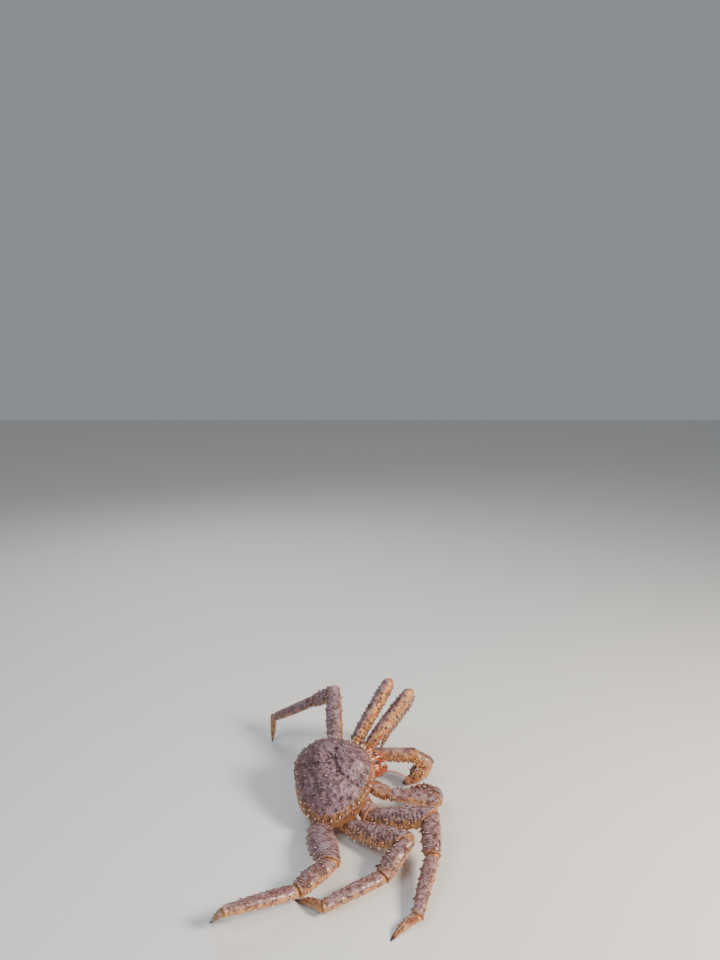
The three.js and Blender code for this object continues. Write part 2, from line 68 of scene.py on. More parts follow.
# Where the flanks end, in degrees from the top, and how far they and the face lean in
WALL_END = 140
FLANK_LEAN = 0.05
FACE_LEAN = 0.16
# The rim's spines stand at this share of the way out, and lean this far
RIM_SHARE = 0.93
RIM_LEAN = 9.0
GROOVE_DEPTH = 0.011
GROOVE_REACH = 0.022
# A toe's middle line ends this far under the floor, and its skin is kept this far above it
TIP_UNDER_FLOOR = 1.2 * MM
FLOOR_GAP = 0.15 * MM
# The left claw's length and girth against the right one's
LEFT_CLAW_SCALE = 0.8
LEFT_CLAW_GIRTH = 0.88

# Limb lengths in millimetres by rank: hip, merus, carpus, propodus (or palm), dactyl (or finger)
LENGTHS = {
    1: [42, 79, 30, 40, 34],
    2: [46, 112, 62, 98, 50],
    3: [46, 118, 66, 101, 54],
    4: [44, 118, 62, 108, 50],
}
# Where each rank's hip leaves the breast, in shell lengths: forward, out, up
HIP_ROOTS = {
    1: (0.27, 0.17, -0.24),
    2: (0.15, 0.22, -0.26),
    3: (0.01, 0.24, -0.26),
    4: (-0.19, 0.23, -0.25),
}
# The pose: for each segment its bearing from +X towards +Y, and its rise; a toe reaches the floor
TOE = None
POSE = {
    "right_1": [(-24, -10), (-9, -3), (90, -17), (125, -18), (116, -26)],
    "right_2": [(-64, -24), (-24, 17), (-94, -27), (-108, -13), (-144, TOE)],
    "right_3": [(-91, -30), (-36, 12), (-131, -22), (-148, -2), (145, TOE)],
    "right_4": [(-125, -20), (-77, 10), (-143, -15), (-151, 7), (139, TOE)],
    "left_1": [(58, -7), (-3, -1), (0, -38), (-172, -50), (180, -28)],
    "left_2": [(25, 29), (30, 43), (92, -46), (117, -54), (173, TOE)],
    "left_3": [(36, 40), (38, 49), (106, -49), (133, -59), (-169, TOE)],
    "left_4": [(56, 30), (94, 31), (139, -35), (160, -31), (-113, TOE)],
}
# Which way the pale underside of each limb is turned
PALE_SIDE = {
    "right_1": (0.0, -0.2, -1.0),
    "right_2": (0.1, -0.55, -0.85),
    "right_3": (-0.1, -0.5, -0.85),
    "right_4": (0.15, -0.45, -0.9),
    "left_1": (0.2, -0.5, -0.8),
    "left_2": (0.95, -0.3, 0.0),
    "left_3": (0.95, -0.3, 0.0),
    "left_4": (0.75, 0.1, -0.7),
}
# How brown rather than lilac each limb's upper shell is, from 0 to 1; higher on the limbs that lie in
# shade, such as the small claw, so partly painted shade
BROWN = {
    "right_1": 0.5, "right_2": 0.3, "right_3": 0.4, "right_4": 0.4,
    "left_1": 0.85, "left_2": 0.5, "left_3": 0.5, "left_4": 0.1,
}
# Share of the usual paleness of the spines on limbs whose spines are dark
SPINE_TONE = {"left_2": 0.3, "left_3": 0.3}
LEG_WORDS = ["hip", "merus", "carpus", "propodus", "dactyl"]
CLAW_WORDS = ["hip", "merus", "carpus", "palm", "finger"]

# Half height and half thickness along each segment in millimetres, at equal steps from root to end
LEG_SHAPES = {
    "hip": ([12.5, 14, 14], [10.5, 12, 11.5]),
    "merus": ([11.5, 15.5, 17, 17, 14.5], [9.5, 11.5, 12, 12, 10.5]),
    "carpus": ([12, 14, 14.5, 12], [9.5, 11, 11.2, 9.8]),
    "propodus": ([10.2, 10.8, 10.4, 9.4, 7.8], [8.4, 8.8, 8.4, 7.6, 6.6]),
    "dactyl": ([7, 6.6, 5.6, 4, 1.8], [5.8, 5.4, 4.4, 3.2, 1.5]),
}
CLAW_SHAPES = {
    "hip": ([12.5, 14, 13.5], [10.5, 12, 11]),
    "merus": ([10, 13, 14, 14], [9, 11, 12, 11.5]),
    "carpus": ([12, 15, 15.5], [11, 13, 13]),
    "palm": ([13, 16.5, 17, 15], [10, 12, 11.5, 9.5]),
    "finger": ([7, 6.6, 5.4, 2.4], [6, 5.6, 4.5, 2.1]),
}
# The fixed finger's radii along it in millimetres, and how many rings it has
THUMB_RADII = [5, 5.6, 5.4, 5, 4.4, 3.6, 2]
THUMB_ROWS = 44
# The near hind leg's merus is the broadest
BROAD_MERUS = ([15, 20, 21.5, 19.5, 15], [9.5, 11.5, 12, 12, 10.5])
# Height of the scale-like cross ridges on the upper side, in millimetres
SCALE_HEIGHT = {"merus": 0.42, "carpus": 0.36, "palm": 0.3}
# How far each segment bows to its outer side, in millimetres
BOW = {"merus": 2.5, "carpus": 1.5, "propodus": 1, "dactyl": 3.5, "finger": 2.5}

# Chief spine rows: the row's angle from the upper edge, how many spines, their length in millimetres
LEG_SPINES = {
    "hip": [(25, 2, 4.5), (-30, 2, 4.5)],
    "merus": [(0, 7, 6), (58, 5, 4.6), (-58, 5, 4.6), (145, 4, 4.6), (-145, 4, 4.6)],
    "carpus": [(0, 4, 7), (60, 3, 5), (-60, 3, 5), (140, 2, 4.5), (-140, 2, 4.5)],
    "propodus": [(0, 6, 5), (70, 4, 3.6), (-70, 4, 3.6), (180, 4, 3.6)],
    "dactyl": [(0, 3, 3)],
}
CLAW_SPINES = {
    "hip": [(20, 2, 4.5)],
    "merus": [(0, 4, 7), (60, 3, 5), (-60, 3, 5)],
    "carpus": [(0, 3, 8), (50, 3, 7), (-50, 3, 7), (100, 2, 5.5)],
    "palm": [(0, 4, 7), (45, 3, 6), (-45, 3, 6), (90, 2, 5)],
    "finger": [(0, 2, 3.4)],
}

# Small spines stand in rings: the millimetres between rings, the degrees between spines, their size
SMALL_RINGS = {
    "hip": (6.5, 34, 0.7),
    "merus": (7.2, 27, 1.0),
    "carpus": (7.0, 29, 1.05),
    "propodus": (8.0, 36, 0.7),
    "dactyl": (6.0, 45, 0.55),
    "palm": (6.2, 27, 1.0),
    "finger": (5.0, 45, 0.55),
}

# Half outline of the carapace: forward and out, from the brow round to the tail, in shell lengths
OUTLINE = [
    (0.47, 0), (0.465, 0.09), (0.41, 0.2), (0.3, 0.34), (0.13, 0.485), (-0.05, 0.565),
    (-0.2, 0.58), (-0.39, 0.525), (-0.51, 0.39), (-0.55, 0.19), (-0.555, 0),
]
# Swellings of the dome: forward, out, reach, height, in shell lengths
SWELLINGS = [
    (0.2, 0, 0.17, 0.055), (-0.16, 0, 0.1, 0.035),
    (-0.12, 0.29, 0.17, 0.05), (-0.12, -0.29, 0.17, 0.05),
    (0.02, 0.12, 0.05, -0.02), (0.02, -0.12, 0.05, -0.02), (-0.04, 0, 0.05, -0.02),
]
# Where the shell is palest, partly its own lilac and partly a painted sheen: forward, out, reach, in shell
# lengths
LILAC_AND_SHEEN_PATCHES = [(0.02, -0.24, 0.2), (0.1, 0.28, 0.22)]
# Grooves between the regions of the shell, drawn on its left half, in shell lengths
GROOVES = [
    [(0.25, 0.4), (0.13, 0.29), (0.04, 0.15), (0.02, 0)],
    [(0.03, 0.13), (-0.09, 0.1), (-0.2, 0.12), (-0.3, 0.2)],
    [(-0.28, 0), (-0.3, 0.1), (-0.36, 0.22)],
]
# The tail flap's middle line, forward and up, and its half sizes along it, in shell lengths
TAIL_LINE = [
    (-0.5, -0.12), (-0.56, -0.2), (-0.53, -0.32), (-0.4, -0.395), (-0.18, -0.425), (0.04, -0.425),
]
TAIL_HALF_WIDTH = [0.13, 0.19, 0.22, 0.22, 0.19, 0.13, 0.05]
TAIL_HALF_THICKNESS = [0.02, 0.034, 0.036, 0.034, 0.03, 0.026, 0.014]
# Half sizes of the breast, forward, out and up, and the middle of it
BREAST_SIZE = (0.42, 0.34, 0.155)
BREAST_FORWARD = 0.03
RIB_STEP = 0.13

# The head's left tubes: points forward, out and up in shell lengths, then radii in millimetres
HEAD_TUBES = {
    "stalk": (
        [(0.4, 0.045, -0.085), (0.45, 0.055, -0.08), (0.49, 0.062, -0.072)],
        [3.0, 2.6, 3.1, 2.9],
    ),
    "base": (
        [(0.36, 0.13, -0.12), (0.44, 0.15, -0.125), (0.5, 0.165, -0.12)],
        [4.6, 4.4, 3.9, 3.9, 3.1, 2.6],
    ),
    "scale": (
        [(0.44, 0.16, -0.115), (0.49, 0.185, -0.1), (0.54, 0.2, -0.09)],
        [2.4, 2.1, 1.2, 0.25],
    ),
    "whip": (
        [
            (0.47, 0.16, -0.121), (0.56, 0.2, -0.1), (0.7, 0.3, -0.12),
            (0.84, 0.44, -0.2), (0.9, 0.55, -0.27),
        ],
        [1.6, 1.2, 0.95, 0.7, 0.42],
    ),
    "stem": (
        [
            (0.39, 0.035, -0.15), (0.47, 0.04, -0.15), (0.54, 0.05, -0.12),
            (0.6, 0.055, -0.13), (0.63, 0.06, -0.16),
        ],
        [2.4, 2.0, 1.5, 1.5, 1.0, 0.5],
    ),
    "fork": (
        [(0.55, 0.052, -0.12), (0.58, 0.07, -0.105), (0.6, 0.085, -0.115)],
        [1.0, 0.8, 0.4],
    ),
    "jaw": (
        [(0.3, 0.075, -0.27), (0.42, 0.078, -0.3), (0.53, 0.07, -0.27), (0.57, 0.06, -0.19)],
        [3, 5.4, 6, 5.4, 4.8, 4, 2],
    ),
    "lower_palp": (
        [(0.36, 0.03, -0.24), (0.46, 0.035, -0.24), (0.52, 0.04, -0.2), (0.53, 0.045, -0.17)],
        [3.2, 3.6, 3, 2, 0.9],
    ),
    "upper_palp": (
        [(0.36, 0.06, -0.2), (0.45, 0.085, -0.2), (0.51, 0.1, -0.18), (0.53, 0.1, -0.16)],
        [3.2, 3.6, 3, 2, 0.9],
    ),
    "outer_palp": (
        [(0.38, 0.1, -0.17), (0.46, 0.12, -0.19), (0.53, 0.135, -0.2), (0.56, 0.13, -0.22)],
        [3.2, 3.6, 3, 2, 0.9],
    ),
}
# The beak's and brow's spines: out, share of the way to the rim, lean, length in millimetres
BEAK_SPINES = [(0, 0.97, (1, 0, 0.05), 15), (0, 0.9, (0.7, 0, 0.75), 7)]
BROW_SPINES = [
    (0.045, 0.93, (0.8, 0.25, 0.5), 7.5),
    (0.12, 0.95, (0.95, 0.3, 0.1), 8.5),
    (0.2, 0.94, (0.9, 0.45, 0.2), 6),
    (0.28, 0.95, (0.8, 0.6, 0.2), 5.5),
    (0.025, 0.82, (0.5, 0.1, 0.85), 4.5),
]

# The camera, from the photo: its place over the floor, its tilt below the level and its lens
CAMERA_PLACE = (34.55 * MM, -1085.72 * MM)
CAMERA_TILT = 11.2
CAMERA_LENS = 27
SENSOR_WIDTH = 36
FLOOR_REACH = 6.0
# Studio lights: name, place and size in metres, power in watts, tint
LIGHTS = [
    ("key", (1.45, -0.8, 1.2), 0.5, 70, (1, 0.88, 0.74)),
    ("fill", (-0.9, -1.0, 1.9), 1.2, 22, (0.84, 0.91, 1)),
    ("back", (-0.6, 1.5, 1.5), 1.2, 14, (0.9, 0.95, 1)),
]
LIGHT_AIM = Vector((0, 0, 0.05))
SKY_TINT = (0.9, 0.94, 1, 1)
SKY_STRENGTH = 0.3

BODY = (
    Matrix.Translation(BODY_PLACE - STANCE_CENTRE)
    @ Matrix.Rotation(math.radians(BODY_YAW), 4, "Z")
    @ Matrix.Rotation(math.radians(-NOSE_UP), 4, "Y")
    @ Matrix.Rotation(math.radians(LEFT_SIDE_UP), 4, "X")
)


class Draws:
    """A repeatable run of random numbers from 0 to 1, the same run that set the solids' spines."""

    FACTOR = 16807
    RANGE = 2147483647

    def __init__(self, seed):
        self.state = seed

    def draw(self):
        self.state = self.state * self.FACTOR % self.RANGE
        return self.state / self.RANGE

    def vary(self, share):
        """A factor within a share of 1."""
        return 1 + share * (2 * self.draw() - 1)


def along(values, t):
    """Smooth values at t from 0 to 1 through equally spaced ones."""
    values = np.asarray(values, float)
    at = np.clip(np.asarray(t, float), 0, 1) * (len(values) - 1)
    i = np.minimum(at.astype(int), len(values) - 2)
    u = at - i
    p, q = values[i], values[i + 1]
    leave = (q - values[np.maximum(i - 1, 0)]) / 2
    arrive = (values[np.minimum(i + 2, len(values) - 1)] - p) / 2
    fall = 1 - u
    return fall * fall * ((1 + 2 * u) * p + u * leave) + u * u * ((3 - 2 * u) * q - fall * arrive)


def step(low, high, x):
    """A smooth step from 0 at low to 1 at high."""
    t = np.clip((x - low) / (high - low), 0, 1)
    return t * t * (3 - 2 * t)


def bump(x, reach):
    """A smooth bump, 1 where x is 0 and gone past about twice the reach."""
    return np.exp(-((x / reach) ** 2))


def unit(v):
    """Each vector at a length of 1."""
    return v / (np.linalg.norm(v, axis=-1, keepdims=True) + 1e-12)


def turned(points):
    """Directions of the body's own frame, as the part's frame has them."""
    return np.asarray(points, float) @ np.array(BODY)[:3, :3].T


def to_world(points):
    """Body points, in metres in the body's own frame, set in the part's frame."""
    return turned(points) + np.array(BODY)[:3, 3]


def rumple(points, scale, octaves=3):
    """Smooth noise from -1 to 1 at each point."""
    flat = np.asarray(points).reshape(-1, 3) * scale
    made = [noise.fractal(Vector(p), 0.8, 2.1, octaves) for p in flat]
    return np.array(made).reshape(np.asarray(points).shape[:-1])


def curve_points(points, count):
    """Points spaced evenly in the parameter along a smooth curve through the given ones."""
    points = np.asarray(points, float)
    t = np.linspace(0, 1, count)
    return np.stack([along(points[:, k], t) for k in range(points.shape[1])], -1)


def tangents(line):
    """The heading at each point of a line."""
    return unit(np.gradient(line, axis=0))


def skin(name, grid, **masks):
    """A closed surface from rings of points, its ends closed, with a float attribute per mask."""
    rows, sides = grid.shape[:2]
    mesh = bpy.data.meshes.new(name)
    verts = np.concatenate([grid.reshape(-1, 3), [grid[0].mean(0), grid[-1].mean(0)]])
    r, k = np.meshgrid(np.arange(rows - 1), np.arange(sides), indexing="ij")
    n = (k + 1) % sides
    quads = np.stack([r * sides + k, r * sides + n, (r + 1) * sides + n, (r + 1) * sides + k], -1)
    faces = quads.reshape(-1, 4).tolist()
    first, last = rows * sides, rows * sides + 1
    for k in range(sides):
        n = (k + 1) % sides
        faces.append((first, n, k))
        faces.append((last, (rows - 1) * sides + k, (rows - 1) * sides + n))
    mesh.from_pydata(verts.tolist(), [], faces)
    for word, values in masks.items():
        values = np.broadcast_to(np.asarray(values, float), (rows, sides))
        flat = np.concatenate([values.ravel(), [values[0].mean(), values[-1].mean()]])
        mesh.attributes.new(word, "FLOAT", "POINT").data.foreach_set("value", flat.astype(np.float32))
    face_outwards(mesh)
    return mesh


def smooth(mesh):
    """Shades every face of a mesh smoothly, and gives the mesh back."""
    mesh.polygons.foreach_set("use_smooth", [True] * len(mesh.polygons))
    return mesh


def face_outwards(mesh):
    """Turns a closed mesh's faces outwards and smooths them."""
    bm = bmesh.new()
    bm.from_mesh(mesh)
    if bm.calc_volume(signed=True) < 0:
        bmesh.ops.reverse_faces(bm, faces=bm.faces)
    bm.to_mesh(mesh)
    bm.free()
    smooth(mesh)


def merged(name, meshes):
    """One mesh from several closed ones."""
    bm = bmesh.new()
    for part in meshes:
        bm.from_mesh(part)
    made = bpy.data.meshes.new(name)
    bm.to_mesh(made)
    bm.free()
    return smooth(made)


def piece(name, mesh, nodes, slot, *finishes):
    """A finished object that rides on the crab and stands for the named solids."""
    made = bpy.data.objects.new(name, mesh)
    bpy.context.scene.collection.objects.link(made)
    if not mesh.materials:
        for finish in finishes:
            mesh.materials.append(finish)
    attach(made, "root")
    if nodes:
        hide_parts(*nodes)
    return made


class CrabSizes(bpy.types.PropertyGroup):
    """Sizes that change how coarse and how long the shell's ornament is."""

    spine_length: bpy.props.FloatProperty(
        name="Spine length", description="Length of the chief spines against the solids'",
        default=1.0, min=0.5, max=1.3, subtype="FACTOR",
    )
    spine_width: bpy.props.FloatProperty(
        name="Spine width", description="Radius of a chief spine's foot against its length",
        default=0.34, min=0.1, max=0.6, subtype="FACTOR",
    )
    small_spine: bpy.props.FloatProperty(
        name="Small spine", description="Usual length of the small spines between the chief ones",
        default=2.5 * MM, min=0.5 * MM, max=4 * MM, subtype="DISTANCE", unit="LENGTH",
    )
    granule: bpy.props.FloatProperty(
        name="Granule", description="Height of the blunt granules between the spines",
        default=0.8 * MM, min=0.2 * MM, max=2 * MM, subtype="DISTANCE", unit="LENGTH",
    )
    row_step: bpy.props.FloatProperty(
        name="Row step", description="Distance between the rings of each limb's surface",
        default=1.5 * MM, min=0.5 * MM, max=5 * MM, subtype="DISTANCE", unit="LENGTH",
    )
    joint_gap: bpy.props.FloatProperty(
        name="Joint gap", description="Half the width of the soft skin that shows at a joint",
        default=0.35 * MM, min=0.1 * MM, max=3 * MM, subtype="DISTANCE", unit="LENGTH",
    )
    camera_height: bpy.props.FloatProperty(
        name="Camera height", description="Height of the camera above the floor",
        default=0.8, min=0.1, max=5, subtype="DISTANCE", unit="LENGTH",
    )


def colour(name, words, value):
    """A colour property with its default."""
    return bpy.props.FloatVectorProperty(
        name=name, description=words, default=value, size=3, min=0, max=1, subtype="COLOR"
    )


class CrabColours(bpy.types.PropertyGroup):
    """Colours of the wet shell and of the soft parts."""

    lilac: colour("Lilac", "Upper shell where it is palest", (0.36, 0.24, 0.29))
    mauve: colour("Mauve", "Upper shell in the main", (0.19, 0.083, 0.1))
    # Umber also darkens the far side and rear of the shell and the shaded limbs: partly their own colour,
    # partly painted shade.
    umber: colour("Umber", "Browner upper shell, far side and legs", (0.15, 0.055, 0.04))
    # Plum also paints shade: the dark round the spines' feet is partly painted shadow, and the grooves,
    # troughs, seams and dents are darkened with painted shade.
    plum: colour("Plum", "Dark blotches and the feet of spines", (0.035, 0.012, 0.014))
    rust: colour("Rust", "Red-brown that breaks through the shell", (0.2, 0.06, 0.03))
    tan: colour("Tan", "Lower shell and edges", (0.44, 0.145, 0.036))
    cream: colour("Cream", "Palest lower shell", (0.7, 0.36, 0.13))
    spine_tip: colour("Spine tip", "Tips of the spines", (0.98, 0.8, 0.62))
    amber: colour("Amber", "Toes and fingers", (0.46, 0.17, 0.045))
    horn: colour("Horn", "Dark ends of the toes and fingers", (0.03, 0.012, 0.008))
    joint: colour("Joint", "Soft skin at the joints", (0.5, 0.2, 0.04))
    feeler: colour("Feeler", "Feelers and mouth", (0.52, 0.1, 0.035))
    eye: colour("Eye", "Eye surface", (0.008, 0.007, 0.009))
    floor: colour("Floor", "Studio floor", (0.72, 0.715, 0.7))


def colours():
    """The crab's colours, as the scene holds them."""
    return bpy.context.scene.crab_colours


def add(tree, kind, inputs=None, **settings):
    """A new node with its settings, and its inputs given by name as values or links."""
    made = tree.nodes.new(kind)
    for word, value in settings.items():
        setattr(made, word, value)
    for word, value in (inputs or {}).items():
        target = made.inputs[word]
        if isinstance(value, bpy.types.NodeSocket):
            tree.links.new(value, target)
        else:
            target.default_value = value
    return made


def maths(tree, operation, a, b=0.0):
    """The output of one sum over two values or links."""
    return add(tree, "ShaderNodeMath", {0: a, 1: b}, operation=operation).outputs[0]


def blend(tree, amount, low, high, share=1.0):
    """A colour mixed from low to high by amount times share."""
    made = add(tree, "ShaderNodeMix", data_type="RGBA")
    if share != 1.0:
        amount = maths(tree, "MULTIPLY", amount, share)
    for index, value in ((0, amount), (6, low), (7, high)):
        if isinstance(value, bpy.types.NodeSocket):
            tree.links.new(value, made.inputs[index])
        elif index == 0:
            made.inputs[index].default_value = value
        else:
            made.inputs[index].default_value = (*value, 1)
    return made.outputs[2]


def ranged(tree, value, low, high, to_low=0.0, to_high=1.0):
    """A value eased from one range to another."""
    made = add(
        tree, "ShaderNodeMapRange",
        {"Value": value, "From Min": low, "From Max": high, "To Min": to_low, "To Max": to_high},
        interpolation_type="SMOOTHSTEP",
    )
    return made.outputs[0]


def group(name, inputs, outputs):
    """An empty shader group with float sockets, and its two end nodes."""
    tree = bpy.data.node_groups.new(name, "ShaderNodeTree")
    socket = tree.interface.new_socket
    for word, value in inputs.items():
        socket(word, in_out="INPUT", socket_type="NodeSocketFloat").default_value = value
    for word in outputs:
        socket(word, in_out="OUTPUT", socket_type="NodeSocketFloat")
    return tree, tree.nodes.new("NodeGroupInput"), tree.nodes.new("NodeGroupOutput")


def mottle_group():
    """Broad, middling and fine cloudiness and sparse specks, over Object coordinates."""
    scales = {"Broad Scale": 34, "Blotch Scale": 120, "Fine Scale": 420, "Speck Scale": 190}
    tree, given, out = group("Mottle", scales, ["Broad", "Blotches", "Fine", "Specks"])
    place = add(tree, "ShaderNodeTexCoord").outputs["Object"]
    for i, (detail, low, high) in enumerate([(3, 0.36, 0.64), (4, 0.38, 0.62), (4, 0.34, 0.66)]):
        cloud = add(
            tree, "ShaderNodeTexNoise",
            {"Vector": place, "Scale": given.outputs[i], "Detail": detail, "Roughness": 0.6},
        )
        tree.links.new(ranged(tree, cloud.outputs[0], low, high), out.inputs[i])
    cells = add(tree, "ShaderNodeTexVoronoi", {"Vector": place, "Scale": given.outputs[3]})
    size = add(tree, "ShaderNodeTexNoise", {"Vector": place, "Scale": 90, "Detail": 2})
    edge = ranged(tree, size.outputs[0], 0.4, 0.66, 0.08, 0.4)
    gap = maths(tree, "SUBTRACT", edge, cells.outputs["Distance"])
    tree.links.new(ranged(tree, gap, 0.0, 0.1), out.inputs[3])
    return tree


def relief_group():
    """Grain and pimples of the shell as a height from 0 to 1."""
    tree, given, out = group("Shell relief", {"Grain": 0.4, "Pimples": 0.6}, ["Height"])
    place = add(tree, "ShaderNodeTexCoord").outputs["Object"]
    grain = add(
        tree, "ShaderNodeTexNoise",
        {"Vector": place, "Scale": 850, "Detail": 4, "Roughness": 0.6},
    )
    cells = add(
        tree, "ShaderNodeTexVoronoi",
        {"Vector": place, "Scale": 480, "Smoothness": 0.3}, feature="SMOOTH_F1",
    )
    pimple = ranged(tree, cells.outputs["Distance"], 0.5, 0.05)
    high = maths(tree, "MULTIPLY", pimple, given.outputs[1])
    low = maths(tree, "MULTIPLY", grain.outputs[0], given.outputs[0])
    tree.links.new(maths(tree, "ADD", high, low), out.inputs[0])
    return tree


def use(tree, name, make, **values):
    """A shared group placed in a material, with its own values by socket name."""
    made = tree.nodes.new("ShaderNodeGroup")
    made.node_tree = bpy.data.node_groups.get(name) or make()
    for word, value in values.items():
        made.inputs[word.replace("_", " ")].default_value = value
    return made


def mask(tree, name):
    """A mask that the surface carries, by its name."""
    made = add(tree, "ShaderNodeAttribute", attribute_name=name, attribute_type="GEOMETRY")
    return made.outputs["Fac"]


def wet_shell(
    name, base, roughness=(0.3, 0.55), coat=0.3, strength=0.85, depth=0.3 * MM, under=0.0, pimples=0.6,
):
    """A wet shell finish; base builds the base colour in the material's own tree."""
    made = bpy.data.materials.get(name)
    if made:
        return made
    made = bpy.data.materials.new(name)
    made.use_nodes = True
    tree = made.node_tree
    tree.nodes.clear()
    clouds = use(tree, "Mottle", mottle_group)
    surface = add(
        tree, "ShaderNodeBsdfPrincipled",
        {
            "Base Color": base(tree, clouds),
            "Roughness": ranged(tree, clouds.outputs["Blotches"], 0, 1, *roughness),
            "Coat Weight": coat,
            "Coat Roughness": 0.14,
            "IOR": 1.5,
            "Subsurface Weight": under,
            "Subsurface Scale": 1.5 * MM,
        },
    )
    relief = use(tree, "Shell relief", relief_group, Pimples=pimples)
    raised = add(
        tree, "ShaderNodeBump", {"Height": relief.outputs[0], "Strength": strength, "Distance": depth}
    )
    tree.links.new(raised.outputs[0], surface.inputs["Normal"])
    out = tree.nodes.new("ShaderNodeOutputMaterial")
    tree.links.new(surface.outputs[0], out.inputs[0])
    return made


def tan_colour(tree, clouds):
    """Tan to cream with rusty clouds and dark red-brown specks."""
    c = colours()
    broad, blotches, fine, specks = clouds.outputs
    low = blend(tree, blotches, c.tan, c.cream)
    low = blend(tree, broad, low, c.rust, 0.3)
    low = blend(tree, ranged(tree, fine, 0.5, 0.0), low, c.rust, 0.5)
    low = blend(tree, ranged(tree, fine, 0.6, 1.0), low, c.cream, 0.6)
    return blend(tree, specks, low, c.plum, 0.85)


def mauve_colour(tree, clouds, speckle):
    """Mauve clouded with lilac, rust and plum; speckle is the strength of the small spots."""
    c = colours()
    broad, blotches, fine, specks = clouds.outputs
    cloudy = ranged(tree, broad, 0.0, 1.0, 0.45, 1.0)
    cloudy = maths(tree, "MULTIPLY", cloudy, maths(tree, "SUBTRACT", 1.0, mask(tree, "brown")))
    top = blend(tree, mask(tree, "brown"), c.mauve, c.umber)
    top = blend(tree, cloudy, top, c.lilac, 0.8)
    top = blend(tree, ranged(tree, blotches, 0.55, 0.05), top, c.rust, 0.35)
    top = blend(tree, ranged(tree, blotches, 0.35, 0.0), top, c.plum, 0.62)
    top = blend(tree, ranged(tree, blotches, 0.6, 1.0), top, c.lilac, 0.6)
    top = blend(tree, ranged(tree, fine, 0.6, 1.0), top, c.lilac, 0.6 * speckle)
    top = blend(tree, ranged(tree, fine, 0.45, 0.0), top, c.plum, 0.55 * speckle)
    return blend(tree, specks, top, c.plum, 0.8 * speckle)


def upper_and_lower(speckle):
    """Mauve above and tan below, orange by the joints, and plum round the spines, in the grooves, troughs
    and seams and at the fixed finger's tip: partly dark pigment, partly painted shadow and painted shade.
    """
    def base(tree, clouds):
        c = colours()
        wander = maths(tree, "MULTIPLY", maths(tree, "SUBTRACT", clouds.outputs["Blotches"], 0.5), 0.5)
        edge = ranged(tree, maths(tree, "ADD", mask(tree, "pale"), wander), 0.28, 0.72)
        lower = blend(tree, mask(tree, "brown"), tan_colour(tree, clouds), c.umber, 0.42)
        both = blend(tree, edge, mauve_colour(tree, clouds, speckle), lower)
        both = blend(tree, mask(tree, "warm"), both, c.joint, 0.75)
        both = blend(tree, ranged(tree, mask(tree, "warm"), 0.72, 1.0), both, c.feeler, 0.8)
        return blend(tree, mask(tree, "halo"), both, c.plum, 0.85)
    return base


def spine_colour(tree, clouds):
    """A spine from its dark foot through rust to its pale tip."""
    c = colours()
    rise = mask(tree, "rise")
    tone = mask(tree, "tone")
    foot = blend(tree, ranged(tree, tone, 0.2, 0.9), c.plum, c.tan)
    warmed = blend(tree, ranged(tree, tone, 0.2, 0.6), c.umber, c.rust)
    middle = blend(tree, ranged(tree, rise, 0.05, 0.5), foot, warmed, 0.55)
    paleness = maths(tree, "ADD", rise, maths(tree, "MULTIPLY", tone, 0.35))
    tip = blend(tree, ranged(tree, tone, 0.1, 0.45), c.lilac, c.spine_tip)
    return blend(tree, ranged(tree, paleness, 0.6, 0.98), middle, tip)


def granule_colour(tree, clouds):
    """A granule, paler towards its top."""
    c = colours()
    foot = blend(tree, mask(tree, "tone"), c.umber, c.tan)
    share = ranged(tree, mask(tree, "tone"), 0.0, 0.8, 0.35, 1.0)
    paleness = maths(tree, "MULTIPLY", mask(tree, "rise"), share)
    return blend(tree, ranged(tree, paleness, 0.2, 0.95), foot, c.spine_tip, 0.7)


def lower_colour(tree, clouds):
    """The breast's tan and orange, with painted shade in its creases in rust red-brown."""
    c = colours()
    both = tan_colour(tree, clouds)
    both = blend(tree, mask(tree, "warm"), both, c.joint, 0.7)
    return blend(tree, mask(tree, "halo"), both, c.rust, 0.8)


def jaw_colour(tree, clouds):
    """Orange-red with tan and cream clouds, and plum painted shade in the jaws' ring dents."""
    c = colours()
    both = blend(tree, clouds.outputs["Blotches"], c.feeler, c.tan)
    both = blend(tree, clouds.outputs["Fine"], both, c.cream, 0.35)
    return blend(tree, mask(tree, "halo"), both, c.plum, 0.6)


def toe_colour(tree, clouds):
    """Amber and tan, with the end of each toe or finger dark and horny."""
    c = colours()
    base = blend(tree, mask(tree, "pale"), c.rust, c.amber)
    base = blend(tree, clouds.outputs["Blotches"], base, c.cream, 0.5)
    # Plum round the spines' feet is partly dark pigment, partly painted shadow; plum in the flutes is
    # painted shade.
    base = blend(tree, mask(tree, "halo"), base, c.plum, 0.7)
    return blend(tree, ranged(tree, mask(tree, "rise"), 0.66, 0.95), base, c.horn)


def tooth_colour(tree, clouds):
    return blend(tree, clouds.outputs["Fine"], colours().cream, (0.85, 0.8, 0.7))


def bristle_colour(tree, clouds):
    c = colours()
    return blend(tree, mask(tree, "rise"), c.rust, c.amber)


def plain_colour(word, dim):
    """One of the colours, clouded down to a share of itself."""
    def base(tree, clouds):
        full = getattr(colours(), word)
        low = tuple(dim * v for v in full)
        return blend(tree, clouds.outputs["Blotches"], low, full)
    return base


def shell_finish():
    return wet_shell(
        "Upper shell", upper_and_lower(1.0),
        roughness=(0.42, 0.72), coat=0.14, strength=1.0, depth=0.5 * MM,
    )


def limb_finish():
    return wet_shell(
        "Limb shell", upper_and_lower(0.45),
        roughness=(0.3, 0.58), coat=0.3, strength=0.9, depth=0.4 * MM,
    )


def spine_finish():
    return wet_shell("Spines", spine_colour, roughness=(0.16, 0.3), coat=0.6, strength=0.15)


def granule_finish():
    return wet_shell("Granules", granule_colour, roughness=(0.16, 0.3), coat=0.6, strength=0.1)


def lower_finish():
    return wet_shell("Lower shell", lower_colour, strength=0.4, under=0.1)


